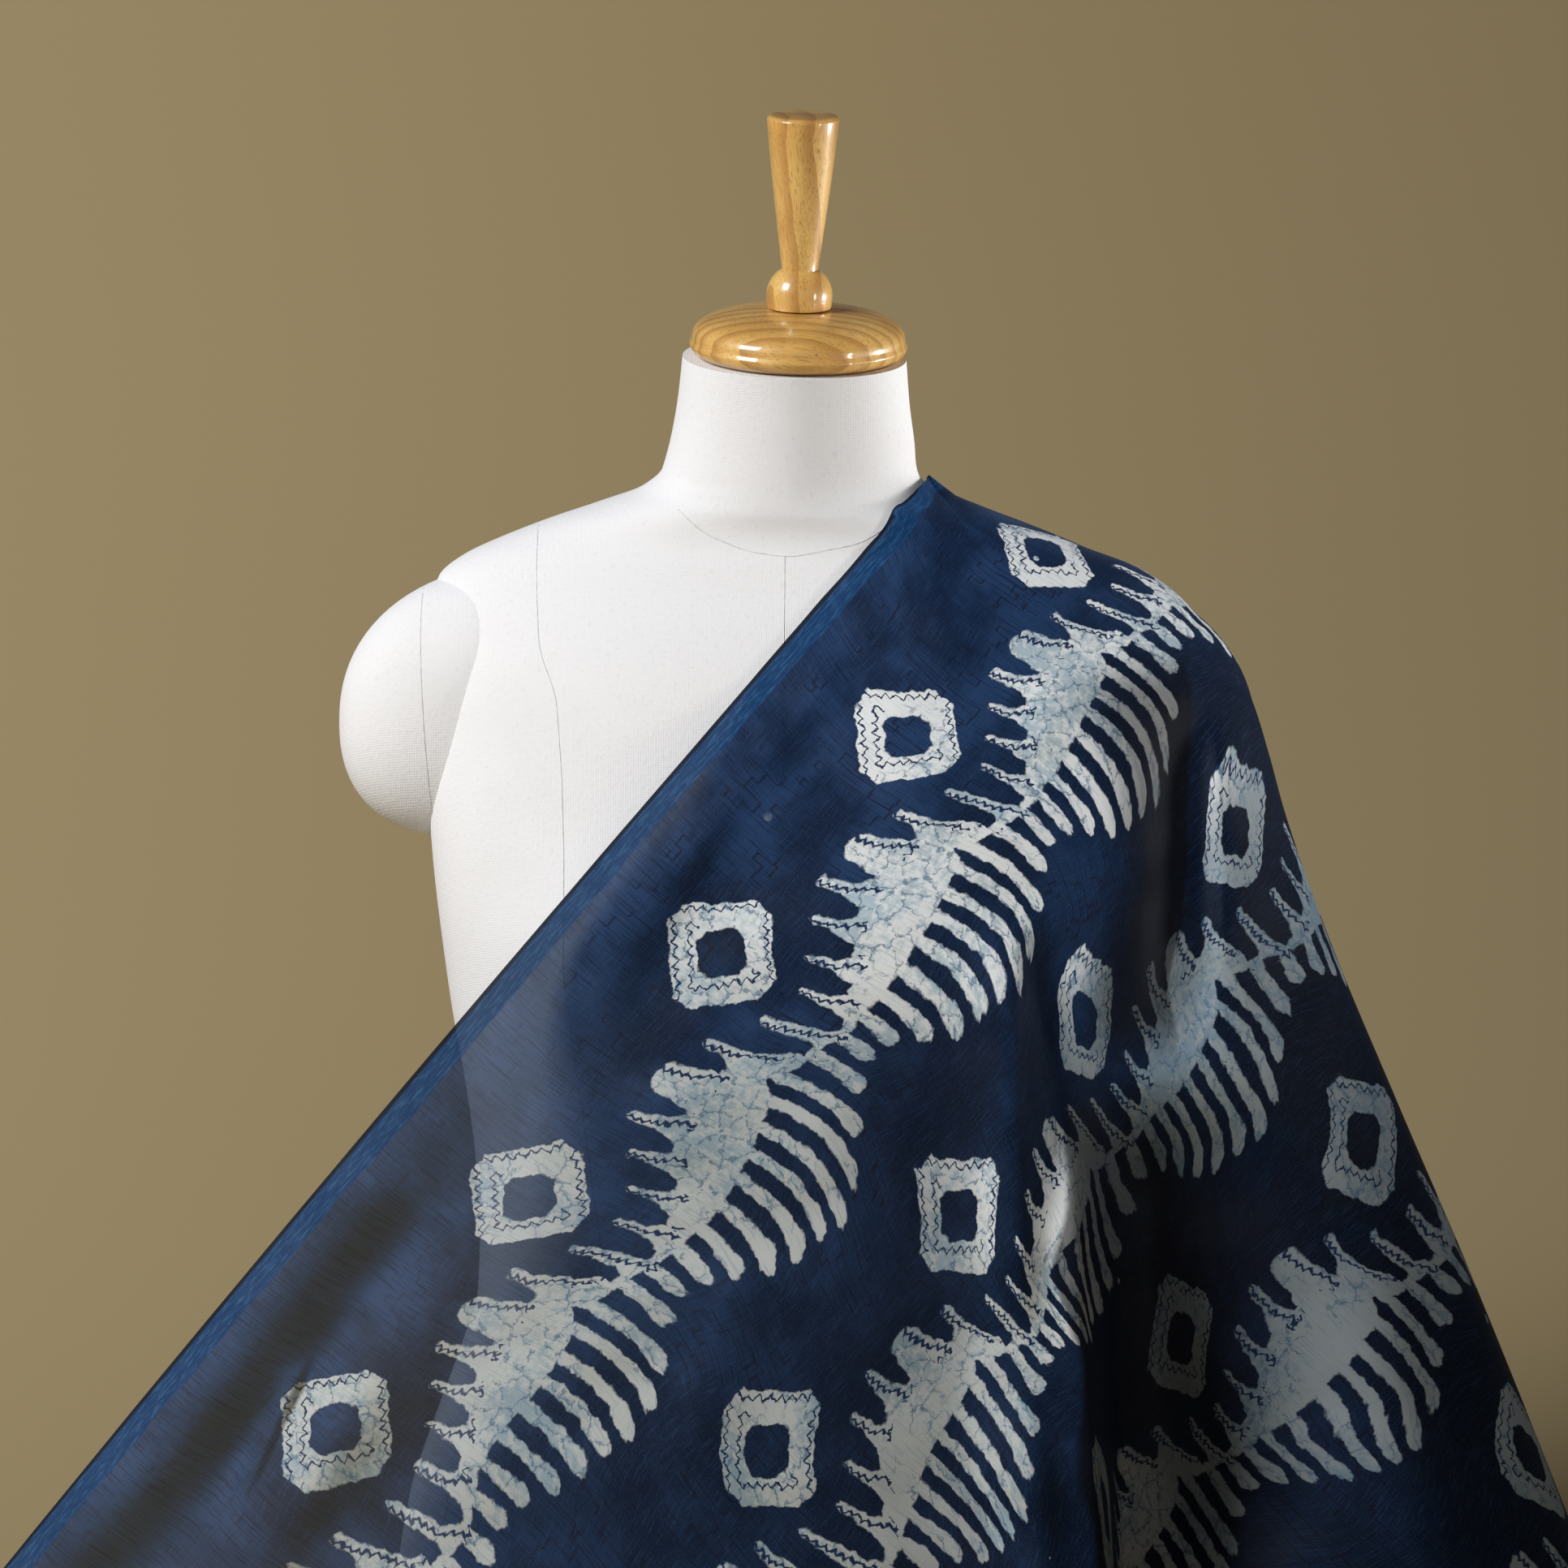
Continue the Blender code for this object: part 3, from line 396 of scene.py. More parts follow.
class Value:
    """A number that a shader works out at each point. Sums with it add Math nodes."""

    def __init__(self, tree, socket):
        self.tree = tree
        self.socket = socket

    __add__ = __radd__ = in_math("ADD")
    __sub__ = in_math("SUBTRACT")
    __mul__ = __rmul__ = in_math("MULTIPLY")
    __truediv__ = in_math("DIVIDE")
    __abs__ = in_math("ABSOLUTE")
    least = in_math("MINIMUM")
    most = in_math("MAXIMUM")
    nearest = in_math("ROUND")
    floor = in_math("FLOOR")
    fraction = in_math("FRACT")
    root = in_math("SQRT")
    power = in_math("POWER")
    wave = in_math("SINE")

    def __rsub__(self, other):
        return sum_node(self.tree, "SUBTRACT", other, self)

    def __neg__(self):
        return self * -1.0

    def wrapped(self, low, high):
        return sum_node(self.tree, "WRAP", self, high, low)

    def zigzag(self, pitch):
        """Rises and falls evenly between 0 and half the pitch, once in each pitch."""
        return sum_node(self.tree, "PINGPONG", self, pitch / 2)

    def over(self, start, end):
        """0 at start, 1 at end, and smooth between them."""
        inputs = {"Value": self, "From Min": start, "From Max": end}
        if start > end:
            inputs.update({"From Min": end, "From Max": start, "To Min": 1.0, "To Max": 0.0})
        node = add_node(self.tree, "MapRange", inputs, interpolation_type="SMOOTHSTEP")
        return Value(self.tree, node.outputs[0])

    def chart(self, points):
        """Looks this number up in a chart of straight lines between points."""
        across = [p[0] for p in points]
        up = [p[1] for p in points]
        low, high = min(up), max(up)
        wide = across[-1] - across[0]
        node = add_node(self.tree, "FloatCurve", {"Value": (self - across[0]) / wide})
        curve = node.mapping.curves[0]
        while len(curve.points) < len(points):
            curve.points.new(0.5, 0.5)
        for point, a, b in zip(curve.points, across, up):
            point.location = ((a - across[0]) / wide, (b - low) / (high - low))
            point.handle_type = "VECTOR"
        node.mapping.update()
        return Value(self.tree, node.outputs[0]) * (high - low) + low


# ---------------------------------------------------------------- shader nodes
MIX_UNDER, MIX_OVER, MIX_COLOUR = 6, 7, 2      # a Mix node's inputs and output for colours


def feed(tree, node, inputs):
    """Gives a node's inputs their numbers, colours, values or sockets."""
    for name, value in inputs.items():
        socket = node.inputs[name]
        if isinstance(value, Value):
            tree.links.new(value.socket, socket)
        elif isinstance(value, bpy.types.NodeSocket):
            tree.links.new(value, socket)
        elif socket.type == "RGBA":
            socket.default_value = (*value, 1.0)
        else:
            socket.default_value = value


def add_node(tree, kind, inputs, **settings):
    node = tree.nodes.new("ShaderNode" + kind)
    for name, value in settings.items():
        setattr(node, name, value)
    feed(tree, node, inputs)
    return node


def sum_node(tree, operation, *values):
    node = add_node(tree, "Math", dict(enumerate(values)), operation=operation)
    return Value(tree, node.outputs[0])


def place(x, y, z=0.0):
    """A vector from three numbers."""
    return add_node(x.tree, "CombineXYZ", {"X": x, "Y": y, "Z": z}).outputs[0]


def split(tree, socket):
    return [Value(tree, out) for out in add_node(tree, "SeparateXYZ", {0: socket}).outputs]


def noise(tree, vector, scale=1.0, detail=2.0, roughness=0.5, dimensions="2D"):
    """Soft noise, as its height and as three more numbers."""
    inputs = {"Vector": vector, "Scale": scale, "Detail": detail, "Roughness": roughness}
    node = add_node(tree, "TexNoise", inputs, noise_dimensions=dimensions)
    return Value(tree, node.outputs["Fac"]), node.outputs["Color"]


def solid_noise(tree, vector, scale, detail, roughness=0.5):
    return noise(tree, vector, scale, detail, roughness, "3D")


def cells(tree, vector, scale, feature="F1"):
    """Distance in a pattern of uneven cells, and three numbers that each cell has."""
    node = add_node(tree, "TexVoronoi", {"Vector": vector, "Scale": scale},
                    voronoi_dimensions="2D", feature=feature)
    return Value(tree, node.outputs["Distance"]), node.outputs.get("Color")


def chance_of(tree, vector):
    node = add_node(tree, "TexWhiteNoise", {"Vector": vector}, noise_dimensions="2D")
    return Value(tree, node.outputs["Value"])


def blend(tree, colour, *layers):
    """A colour with others laid over it, each by its own share."""
    for share, over in layers:
        node = add_node(tree, "Mix", {}, data_type="RGBA")
        feed(tree, node, {"Factor": share, MIX_UNDER: colour, MIX_OVER: over})
        colour = node.outputs[MIX_COLOUR]
    return colour


def bump(tree, height, strength, distance):
    inputs = {"Strength": strength, "Distance": distance, "Height": height}
    return add_node(tree, "Bump", inputs).outputs["Normal"]


def object_place(tree):
    return add_node(tree, "TexCoord", {}).outputs["Object"]


def new_material(name):
    material = bpy.data.materials.new(name)
    material.use_nodes = True
    return material, material.node_tree, material.node_tree.nodes["Principled BSDF"]


# ---------------------------------------------------------------- the print
def flat_cornered(x, y, reach, flat):
    """How far outside a square on its corner a point is. Its corners are cut off at flat."""
    return (abs(x) + abs(y) - reach).most(abs(x).most(abs(y)) - flat)


def square_print(u, v):
    """A ring on its corner: how far outside it, and how near to its fine stepped lines."""
    out = flat_cornered(u, v, SQUARE_OUT, SQUARE_OUT_FLAT)
    inside = flat_cornered(u, v, SQUARE_IN, SQUARE_IN_FLAT)
    across = abs(u) + abs(v)
    steps = (abs(u) - abs(v)).zigzag(STEP_PITCH)
    outer_line = abs(across - LINE_OUT - steps) + (-LINE_GAP - u.most(-v)).most(0.0)
    inner_line = abs(across - LINE_IN - steps) + (u - LINE_GAP).most(0.0)
    return out.most(-inside), outer_line.least(inner_line)


def comb_print(u, v, chance):
    """The solid hill of a comb, its fingers and its hooks, and its fine stepped lines."""
    hill = u.chart(HILL)
    foot = u.chart(BODY_FOOT)
    body = (hill - v).most(v - foot) * 0.8

    phase = u.chart([(a, k) for k, a in enumerate(FINGER_U)])
    finger = phase.nearest()
    x = (phase - finger) * FINGER_PITCH
    end = finger.chart(list(enumerate(FINGER_END))) + (chance - 0.5) * FINGER_UNEVEN
    past = v - end + FINGER_ROUND
    half = FINGER_HALF + (past + 6.0).over(-8.0, 6.0) * FINGER_BULB
    fingers = ((x * x + past.most(0.0).power(2.0)).root() - half).most(foot - 4.0 - v)

    lean = (v - HOOK_UPRIGHT) * HOOK_LEAN
    phase = (u - lean).chart([(a, k) for k, a in enumerate(HOOK_U)])
    hook = phase.nearest()
    x = (phase - hook) * HOOK_PITCH
    tip = hook.chart(list(enumerate(HOOK_TIP)))
    reach = hook.chart(list(enumerate(HOOK_HALF)))
    past = tip + reach - v
    half = reach + (v - tip).over(4.0, 24.0) * 1.3 + (v - hill).over(-10.0, 3.0) * 3.6
    hooks = ((x * x + past.most(0.0).power(2.0)).root() - half).most(v - foot)

    across = abs(v - hill - 3.0 - u.zigzag(4.6) * 1.4) + (1.0 - x).most(0.0)
    along = abs(x - half + 2.4 + v.zigzag(4.4) * 0.9) + (v - hill - 6.0).most(0.0)
    return body.least(fingers).least(hooks), across, along


def print_marks(tree, u, v):
    """The share of white print at a point, and the share of fine dark line."""
    _, shift = noise(tree, place(u, v), 0.13, 3.0, 0.62)
    du, dv, chance = split(tree, shift)
    u = u + (du - 0.5) * PRINT_UNEVEN
    v = v + (dv - 0.5) * PRINT_UNEVEN
    down = v.wrapped(ROW_TOP, ROW_TOP + ROW_PITCH)
    ring, ring_line = square_print(u.wrapped(-REPEAT / 2, REPEAT / 2), down - SQUARE_V)
    comb, step_line, side_line = comb_print(u.wrapped(COMB_START, COMB_START + REPEAT), down, chance)
    printed = ring.least(comb).most(ROW_START - v)
    share = printed.over(0.7, -0.5)
    patchy = chance.over(0.44, 0.52)
    comb_line = (step_line + (1.0 - patchy) * 3.0).least(side_line)
    comb_line = comb_line + comb.most(0.0) * 0.5
    line = ring_line.least(comb_line).over(1.15, 0.50)
    return share, line * printed.over(2.5, 1.0)


def skyline(tree, u, v, wide, pitch):
    """A fine stepped outline of uneven towers, one line of them in each pitch."""
    tower = (u / wide).floor()
    row = (v / pitch).floor()
    across = u - tower * wide
    down = v - row * pitch
    here = chance_of(tree, place(tower, row)) * pitch * TOWER_TALL + u.zigzag(1.7)
    after = chance_of(tree, place(tower + 1.0, row)) * pitch * TOWER_TALL
    level = abs(down - here)
    between = (here.least(after) - down).most(down - here.most(after)).most(0.0)
    upright = (wide - across) + between
    return level.least(upright).over(0.75, 0.35)


def stroke(u, v, line):
    """A soft band beside a line: its start and end, and how wide it is, up to its edge and past it."""
    u0, v0, u1, v1, rise, full, fall, fade = line
    length = math.hypot(u1 - u0, v1 - v0)
    step_u, step_v = (u1 - u0) / length, (v1 - v0) / length
    along = (u - u0) * step_u + (v - v0) * step_v
    off = (u - u0) * -step_v + (v - v0) * step_u
    if full < 0:
        off, full = -off, -full
    ends = along.over(0.0, fade) * along.over(length, length - fade)
    return off.over(-rise, 0.0) * off.over(full + fall, full) * ends


def chanderi_material():
    """Sheer silk and cotton in indigo, with a hand-blocked print that resisted the dye, and painted shade,
    shadow and light in its colour.
    """
    material, tree, shader = new_material("printed_chanderi")
    u, v, _ = split(tree, add_node(tree, "UVMap", {}, uv_map="cloth").outputs[0])
    u = u * 1000.0
    v = v * 1000.0

    white, line = print_marks(tree, u, v)

    slub, _ = noise(tree, place(u * 1.3, v * 0.05), 1.0, 2.0, 0.6)
    thread, _ = noise(tree, place(u * 0.07, v * 1.3), 1.0, 1.0)
    speck, _ = noise(tree, place(u, v), 1.1, 1.0)
    cloud, clouds = noise(tree, place(u, v), 0.016, 3.0, 0.6)
    fine, fines = noise(tree, place(u, v), 0.22, 3.0, 0.62)
    cloud_2, cloud_3, _ = split(tree, clouds)
    fine_2, fine_3, _ = split(tree, fines)

    # faint outlines of a maroon block under the indigo
    drawn = skyline(tree, u, v, 6.5, 58.0).most(skyline(tree, u + 3.0, v + 23.0, 4.2, 71.0))
    drawn = drawn * cloud_2.over(0.46, 0.52) * v.over(15.0, 22.0)

    # indigo, cloudy from the dyeing, with darker slubs, painted shade away from the selvedge, over the arm
    # and in a hollow, and a painted back light where the cloth hangs clear
    arm_shade = u.over(*PAINTED_ARM_SHADE_U) * v.over(*PAINTED_ARM_SHADE_V)
    # painted shade: darker ground where the cloth turns from the light, over the arm and in a hollow
    painted_shade = v.over(*PAINTED_SHADE_V) * 0.62 + arm_shade * 0.38 + stroke(u, v, PAINTED_HOLLOW_SHADE) * 0.66
    loose = u.over(*LOOSE_U) * v.over(*LOOSE_V)
    ground = blend(
        tree, INDIGO_DEEP,
        (cloud.over(0.36, 0.64), INDIGO),
        (painted_shade, INDIGO_SLUB_AND_SHADE),
        # painted light: paler where the loose cloth is lit from behind
        (loose * 0.26 * v.over(*LOOSE_BACKLIT_V), INDIGO_PALE_AND_BACKLIT),
        (slub.over(0.52, 0.68) * 0.60, INDIGO_SLUB_AND_SHADE),
        (thread.over(0.54, 0.72) * 0.18, INDIGO_PALE_AND_BACKLIT),
        (speck.over(0.52, 0.78) * 0.20, INDIGO_PALE_AND_BACKLIT),
        (drawn * 0.75 * (1.0 - loose * 0.5), MAROON),
    )

    # white where the paste kept the dye out, blotted and crackled with blue, with painted light and painted
    # shade on it by place
    edge, _ = cells(tree, place(u + (fine_2 - 0.5) * 8.0, v + (fine_3 - 0.5) * 8.0), CRACK_SCALE,
                    "DISTANCE_TO_EDGE")
    crack = edge.over(0.07, 0.015) * cloud_3.over(0.34, 0.46) * fine.over(0.36, 0.48)
    blot = (fine * 0.45 + cloud_3 * 0.65).over(0.50, 0.68)
    # painted shade dulls the paste here, and painted light brightens it elsewhere
    paste_shade = v.over(*PASTE_SHADE_V) * u.over(*PASTE_SHADE_U)
    paste_lit = u.over(*PASTE_LIT_U) * (1.0 - paste_shade)
    paste = blend(
        tree, blend(tree, PASTE_WHITE, (paste_lit, PASTE_LIT)),
        (blot, blend(tree, PASTE_BLUE, (paste_lit, PASTE_LIT_BLUE))),
        (paste_shade * 0.42, CRACK_BLUE_AND_SHADE),
        (crack * 0.75, CRACK_BLUE_AND_SHADE),
        (slub.over(0.52, 0.72) * 0.30, CRACK_BLUE_AND_SHADE),
    )

    # stray white drops
    drop, which = cells(tree, place(u, v), 1.0 / DROP_CELL)
    size, picked, _ = split(tree, which)
    drops = (drop * DROP_CELL - size * DROP_RADIUS).over(0.4, -0.4)
    white = white.most(drops * picked.over(0.62, 0.64) * v.over(20.0, 24.0))

    # the selvedge, woven closer and dyed paler
    band = v.over(BAND + 0.5, BAND - 0.5)
    fleck, _ = noise(tree, place(u * 0.10, v * 1.1), 1.0, 3.0, 0.7)
    rim = blend(tree, BAND_BLUE, (fleck.over(0.44, 0.74) * 0.6, BAND_PALE), (v.over(1.3, 0.6), INDIGO_SLUB_AND_SHADE))

    # painted shadow: the deep folds' shade, laid over the cloth's colour as near-black
    crest, arm, hollow = [stroke(u, v, shade) * depth for depth, shade in PAINTED_SHADOWS]
    deep = crest.most(arm).most(hollow)
    colour = blend(tree, ground, (white, paste), (line, LINE_BLUE), (band, rim), (deep, FOLD_SHADOW_PAINT))
    feed(tree, shader, {
        "Base Color": colour,
        "Roughness": 0.50 + slub * 0.16,
        "Normal": bump(tree, slub * 0.6 + thread * 0.5, 0.35, 0.0004),
        "Specular IOR Level": 0.07,
        "Sheen Weight": 0.03,
        "Sheen Roughness": 0.45,
        "Sheen Tint": (0.35, 0.50, 0.95),
    })

    # the weave lets some light through, less under the painted fold shadows and in the band
    open_weave = OPEN_WEAVE + slub.over(0.62, 0.38) * 0.02 + loose * OPEN_LOOSE
    open_weave = open_weave * (1.0 - deep * 0.6) * (1.0 - band * 0.6)
    gaps = add_node(tree, "BsdfTransparent", {"Color": blend(tree, OPEN_INDIGO, (white, OPEN_PASTE))})
    sheer = add_node(tree, "MixShader", {"Fac": open_weave, 1: shader.outputs[0], 2: gaps.outputs[0]})
    feed(tree, tree.nodes["Material Output"], {"Surface": sheer.outputs["Shader"]})
    return material


# ---------------------------------------------------------------- canvas, thread, wood and paper
def canvas_material():
    """Bleached cotton canvas, tight over the form, with a plain weave and a little soiling."""
    material, tree, shader = new_material("form_canvas")
    spot = object_place(tree)
    x, y, z = split(tree, spot)
    warp, _ = solid_noise(tree, spot, 9.0, 2.0)
    soil, _ = solid_noise(tree, spot, 7.0, 4.0, 0.55)
    speck, _ = solid_noise(tree, spot, 420.0, 1.0)
    bend = (warp - 0.5) * 2.0
    weft = z * CANVAS_PITCH + y * CANVAS_SLANT + bend
    threads = (x * CANVAS_PITCH + bend).wave() + weft.wave()
    shade = blend(tree, CANVAS_WHITE, (soil.over(0.52, 0.74) * 0.5, CANVAS_SOILED),
                  (speck.over(0.55, 0.85) * 0.35, CANVAS_THREAD))
    feed(tree, shader, {
        "Base Color": shade,
        "Roughness": 0.82 + speck * 0.12,
        "Normal": bump(tree, threads * 0.12 + speck * 0.9, 0.35, 0.0006),
        "Specular IOR Level": 0.20,
        "Sheen Weight": 0.08,
    })
    return material


def thread_material():
    """Grey sewing thread, sunk into its seam."""
    material, tree, shader = new_material("seam_thread")
    stitch, _ = solid_noise(tree, object_place(tree), 260.0, 2.0, 0.6)
    feed(tree, shader, {
        "Base Color": blend(tree, THREAD_DARK, (stitch.over(0.35, 0.65), THREAD_PALE)),
        "Roughness": 0.7 + stitch * 0.25,
        "Normal": bump(tree, stitch, 0.5, 0.0004),
    })
    return material


def wood_material(name, tilt, centre, ring_pitch):
    """Pale varnished hardwood: growth rings, short dark pores along the grain, and a clear coat."""
    material, tree, shader = new_material(name)
    inputs = {"Location": centre, "Rotation": tilt, "Vector": object_place(tree)}
    spot = add_node(tree, "Mapping", inputs).outputs["Vector"]
    x, y, z = split(tree, spot)
    _, drift = solid_noise(tree, spot, 16.0, 2.0)
    a, b, _ = split(tree, drift)
    x = x + (a - 0.5) * RING_WANDER
    y = y + (b - 0.5) * RING_WANDER
    ring = ((x * x + y * y).root() / ring_pitch).fraction()
    late = ring.over(0.35, 0.93) * ring.over(1.0, 0.95)
    grain, _ = solid_noise(tree, place(x * 900.0, y * 900.0, z * 60.0), 1.0, 3.0, 0.6)
    pore, _ = solid_noise(tree, place(x * 1900.0, y * 1900.0, z * 110.0), 1.0, 1.0)
    tone, _ = solid_noise(tree, spot, 28.0, 2.0)
    shade = blend(
        tree, WOOD_PALE,
        (tone.over(0.35, 0.65), WOOD_WARM),
        (late * 0.62, WOOD_RING),
        (grain.over(0.45, 0.75) * 0.35, WOOD_RING),
        (pore.over(0.60, 0.70) * 0.60, WOOD_PORE),
    )
    feed(tree, shader, {
        "Base Color": shade,
        "Roughness": 0.34 + grain * 0.12,
        "Normal": bump(tree, pore.over(0.72, 0.62) + grain * 0.2, 0.10, 0.0003),
        "Specular IOR Level": 0.45,
        "Coat Weight": 0.85,
        "Coat Roughness": 0.10,
    })
    return material


def stage_material():
    """Matt painted paper with the least mottling."""
    material, tree, shader = new_material("stage_paper")
    cloud, _ = solid_noise(tree, object_place(tree), 1.3, 2.0)
    darker = tuple(0.93 * c for c in STAGE_COLOUR)
    feed(tree, shader, {
        "Base Color": blend(tree, darker, (cloud, STAGE_COLOUR)),
        "Roughness": 0.95,
        "Specular IOR Level": 0.1,
    })
    return material


# ---------------------------------------------------------------- tables and curves
def hermite(share, span, start, end, start_slope, end_slope):
    s2, s3 = share ** 2, share ** 3
    return (
        (2 * s3 - 3 * s2 + 1) * start + (s3 - 2 * s2 + share) * span * start_slope
        + (3 * s2 - 2 * s3) * end + (s3 - s2) * span * end_slope
    )


class Sections:
    """A table's columns as smooth curves over its first column, the height."""

    def __init__(self, columns, rows):
        self.columns = columns
        self.rows = np.array(sorted(rows))
        rise = np.diff(self.rows, axis=0) / np.diff(self.rows[:, 0])[:, None]
        same_way = rise[:-1] * rise[1:] > 0
        total = np.where(same_way, rise[:-1] + rise[1:], 1.0)
        inner = np.where(same_way, 2 * rise[:-1] * rise[1:] / total, 0.0)
        self.slopes = np.vstack([rise[:1], inner, rise[-1:]])

    def at(self, z):
        heights = self.rows[:, 0]
        z = np.clip(np.asarray(z, float), heights[0], heights[-1])
        k = np.clip(np.searchsorted(heights, z) - 1, 0, len(heights) - 2)
        span = (heights[k + 1] - heights[k])[..., None]
        share = (z - heights[k])[..., None] / span
        values = hermite(share, span, self.rows[k], self.rows[k + 1], self.slopes[k], self.slopes[k + 1])
        return dict(zip(self.columns, np.moveaxis(values, -1, 0)))


def smooth_step(x):
    x = np.clip(x, 0.0, 1.0)
    return x * x * (3 - 2 * x)


def signed_power(value, power):
    return np.sign(value) * np.abs(value) ** power


def spans(table):
    values = [table[0][0]]
    for start, end, count in table:
        values += [start + (end - start) * (k + 1) / count for k in range(count)]
    return np.array(values)


# ---------------------------------------------------------------- meshes
def grid_faces(rows, columns, closed=False):
    """The quads of a grid of points, row after row."""
    last = columns if closed else columns - 1
    r, c = np.meshgrid(np.arange(rows - 1), np.arange(last), indexing="ij")
    after = (c + 1) % columns
    quads = np.stack([r * columns + c, r * columns + after,
                      (r + 1) * columns + after, (r + 1) * columns + c], axis=-1)
    return quads.reshape(-1, 4).tolist()


def closed_rings(rings, first, last):
    """Points and faces of a pile of rings, closed by a point at each end."""
    count, sides = rings.shape[:2]
    faces = grid_faces(count, sides, closed=True)
    start = (count - 1) * sides
    for k in range(sides):
        after = (k + 1) % sides
        faces.append([count * sides, after, k])
        faces.append([count * sides + 1, start + k, start + after])
    return np.vstack([rings.reshape(-1, 3), [first], [last]]), faces


def new_mesh(name, points, faces, material):
    mesh = bpy.data.meshes.new(name)
    mesh.from_pydata(np.asarray(points).tolist(), [], faces)
    mesh.materials.append(material)
    mesh.shade_smooth()
    return mesh


def new_object(name, data):
    item = bpy.data.objects.new(name, data)
    bpy.context.scene.collection.objects.link(item)
    return item


def new_piece(name, data, seat=Matrix()):
    piece = new_object(name, data)
    piece.matrix_world = seat
    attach(piece, "root")
    return piece


def face_outwards(piece):
    shape = bmesh.new()
    shape.from_mesh(piece.data)
    bmesh.ops.recalc_face_normals(shape, faces=shape.faces)
    shape.to_mesh(piece.data)
    shape.free()


def tree_of(*objects):
    """The surface of these objects, for the nearest point on them."""
    points, faces = [], []
    for o in objects:
        start = len(points)
        points += [o.matrix_world @ v.co for v in o.data.vertices]
        faces += [[start + k for k in p.vertices] for p in o.data.polygons]
    return BVHTree.FromPolygons(points, faces)


# ---------------------------------------------------------------- the form
def bust_swell(x, z):
    across = np.exp(-(((np.abs(x) - BUST_X) / BUST_WIDE) ** 2))
    upright = np.exp(-(((z - BUST_Z) / BUST_HIGH) ** 2))
    return BUST_OUT * across * upright


def to_frame(x, y, z):
    """Points of the form's own frame, turned into the shared frame."""
    c, s = math.cos(TURN), math.sin(TURN)
    return np.stack([c * x - s * y, s * x + c * y, z], axis=-1)


def body_points():
    """The torso and neck, finer than its solid and rounder from section to section."""
    heights = np.array([row[0] for row in FORM_ROWS])
    steps = np.interp(np.linspace(0, 1, BODY_RINGS), np.linspace(0, 1, len(heights)), heights)
    r = Sections(FORM_COLUMNS, FORM_ROWS).at(steps[:, None])
    angle = np.linspace(0, 2 * math.pi, BODY_SIDES, endpoint=False)[None, :]
    x = r["half"] * signed_power(np.cos(angle), 2 / r["power"])
    y = signed_power(np.sin(angle), 2 / r["power"])
    front = r["front"] + bust_swell(x, r["z"])
    y = np.where(y < 0, y * front, y * r["back"])
    z = r["z"] + np.tan(np.radians(r["pitch"])) * y - np.tan(np.radians(r["roll"])) * x
    return to_frame(x + r["x"], y + r["y"], z)


def build_body(canvas):
    faces = grid_faces(BODY_RINGS, BODY_SIDES, closed=True)
    faces.append(list(range(BODY_SIDES))[::-1])
    faces.append([(BODY_RINGS - 1) * BODY_SIDES + k for k in range(BODY_SIDES)])
    mesh = new_mesh("canvas_body", body_points().reshape(-1, 3), faces, canvas)
    body = new_piece("canvas_body", mesh)
    face_outwards(body)
    body.data.set_sharp_from_angle(angle=BODY_SHARP)
    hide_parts("form_body")
    return body


def build_stub(node, sizes, canvas):
    """A rounded arm stub. Its inner half is hidden in the body."""
    side, x0, y0, z0, out, deep, high, drop = sizes
    turn = np.linspace(0, 2 * math.pi, STUB_SIDES, endpoint=False)[None, :]
    ring = np.linspace(0, math.pi, STUB_RINGS)[:, None]
    n = np.stack([np.cos(ring) + 0 * turn, np.sin(ring) * np.cos(turn), np.sin(ring) * np.sin(turn)])
    x, y, z = n / (np.abs(n) ** STUB_POWER).sum(axis=0) ** (1 / STUB_POWER)
    hang = drop * np.clip(x, 0, 1)
    rings = to_frame(side * (x0 + x * out), y0 + y * deep, z0 + z * high - hang)
    name = "canvas_" + node
    points, faces = closed_rings(rings[1:-1], rings[0, 0], rings[-1, 0])
    stub = new_piece(name, new_mesh(name, points, faces, canvas))
    face_outwards(stub)
    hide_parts(node)
    return stub


def eased_line(path):
    for _ in range(SEAM_EASES):
        inner = [(a + b * 2 + c) / 4 for a, b, c in zip(path, path[1:], path[2:])]
        path = [path[0], *inner, path[-1]]
    return path


def seam_line(name, points, side, forms, thread):
    """A sewn seam: a fine thread that lies in the canvas along these points, seen from one side."""
    spots = [Vector((x, 0.0, z)) for x, z in points]
    path = []
    for before, here in zip(spots, spots[1:]):
        count = max(2, int((here - before).length / SEAM_STEP))
        path += [before.lerp(here, k / count) for k in range(count)]
    laid = []
    for p in eased_line([*path, spots[-1]]):
        start = Vector((p.x, side * 0.5, p.z))
        hits = [f.ray_cast(start, Vector((0, -side, 0)))[0] for f in forms]
        hits = [h for h in hits if h is not None]
        if hits:
            laid.append(min(hits, key=lambda h: (h - start).length))
    curve = bpy.data.curves.new(name, "CURVE")
    curve.dimensions = "3D"
    curve.bevel_depth = SEAM_RADIUS
    curve.bevel_resolution = 1
    spline = curve.splines.new("POLY")
    spline.points.add(len(laid) - 1)
    for point, p in zip(spline.points, laid):
        point.co = (*p, 1.0)
    curve.materials.append(thread)
    new_piece(name, curve)


# ---------------------------------------------------------------- the turned wood
def turned(name, profile, material, seat):
    """A profile turned about its seat's axis, listed from the top down."""
    radius, level = np.array(profile).T[..., None]
    angle = np.linspace(0, 2 * math.pi, TURNING_SIDES, endpoint=False)[None, :]
    rings = np.stack([radius * np.cos(angle), radius * np.sin(angle), level + 0 * angle], axis=-1)
    points, faces = closed_rings(rings[1:-1], (0, 0, profile[0][1]), (0, 0, profile[-1][1]))
    piece = new_piece(name, new_mesh(name, points, faces, material), seat)
    face_outwards(piece)
    piece.data.set_sharp_from_angle(angle=WOOD_SHARP)
    return piece


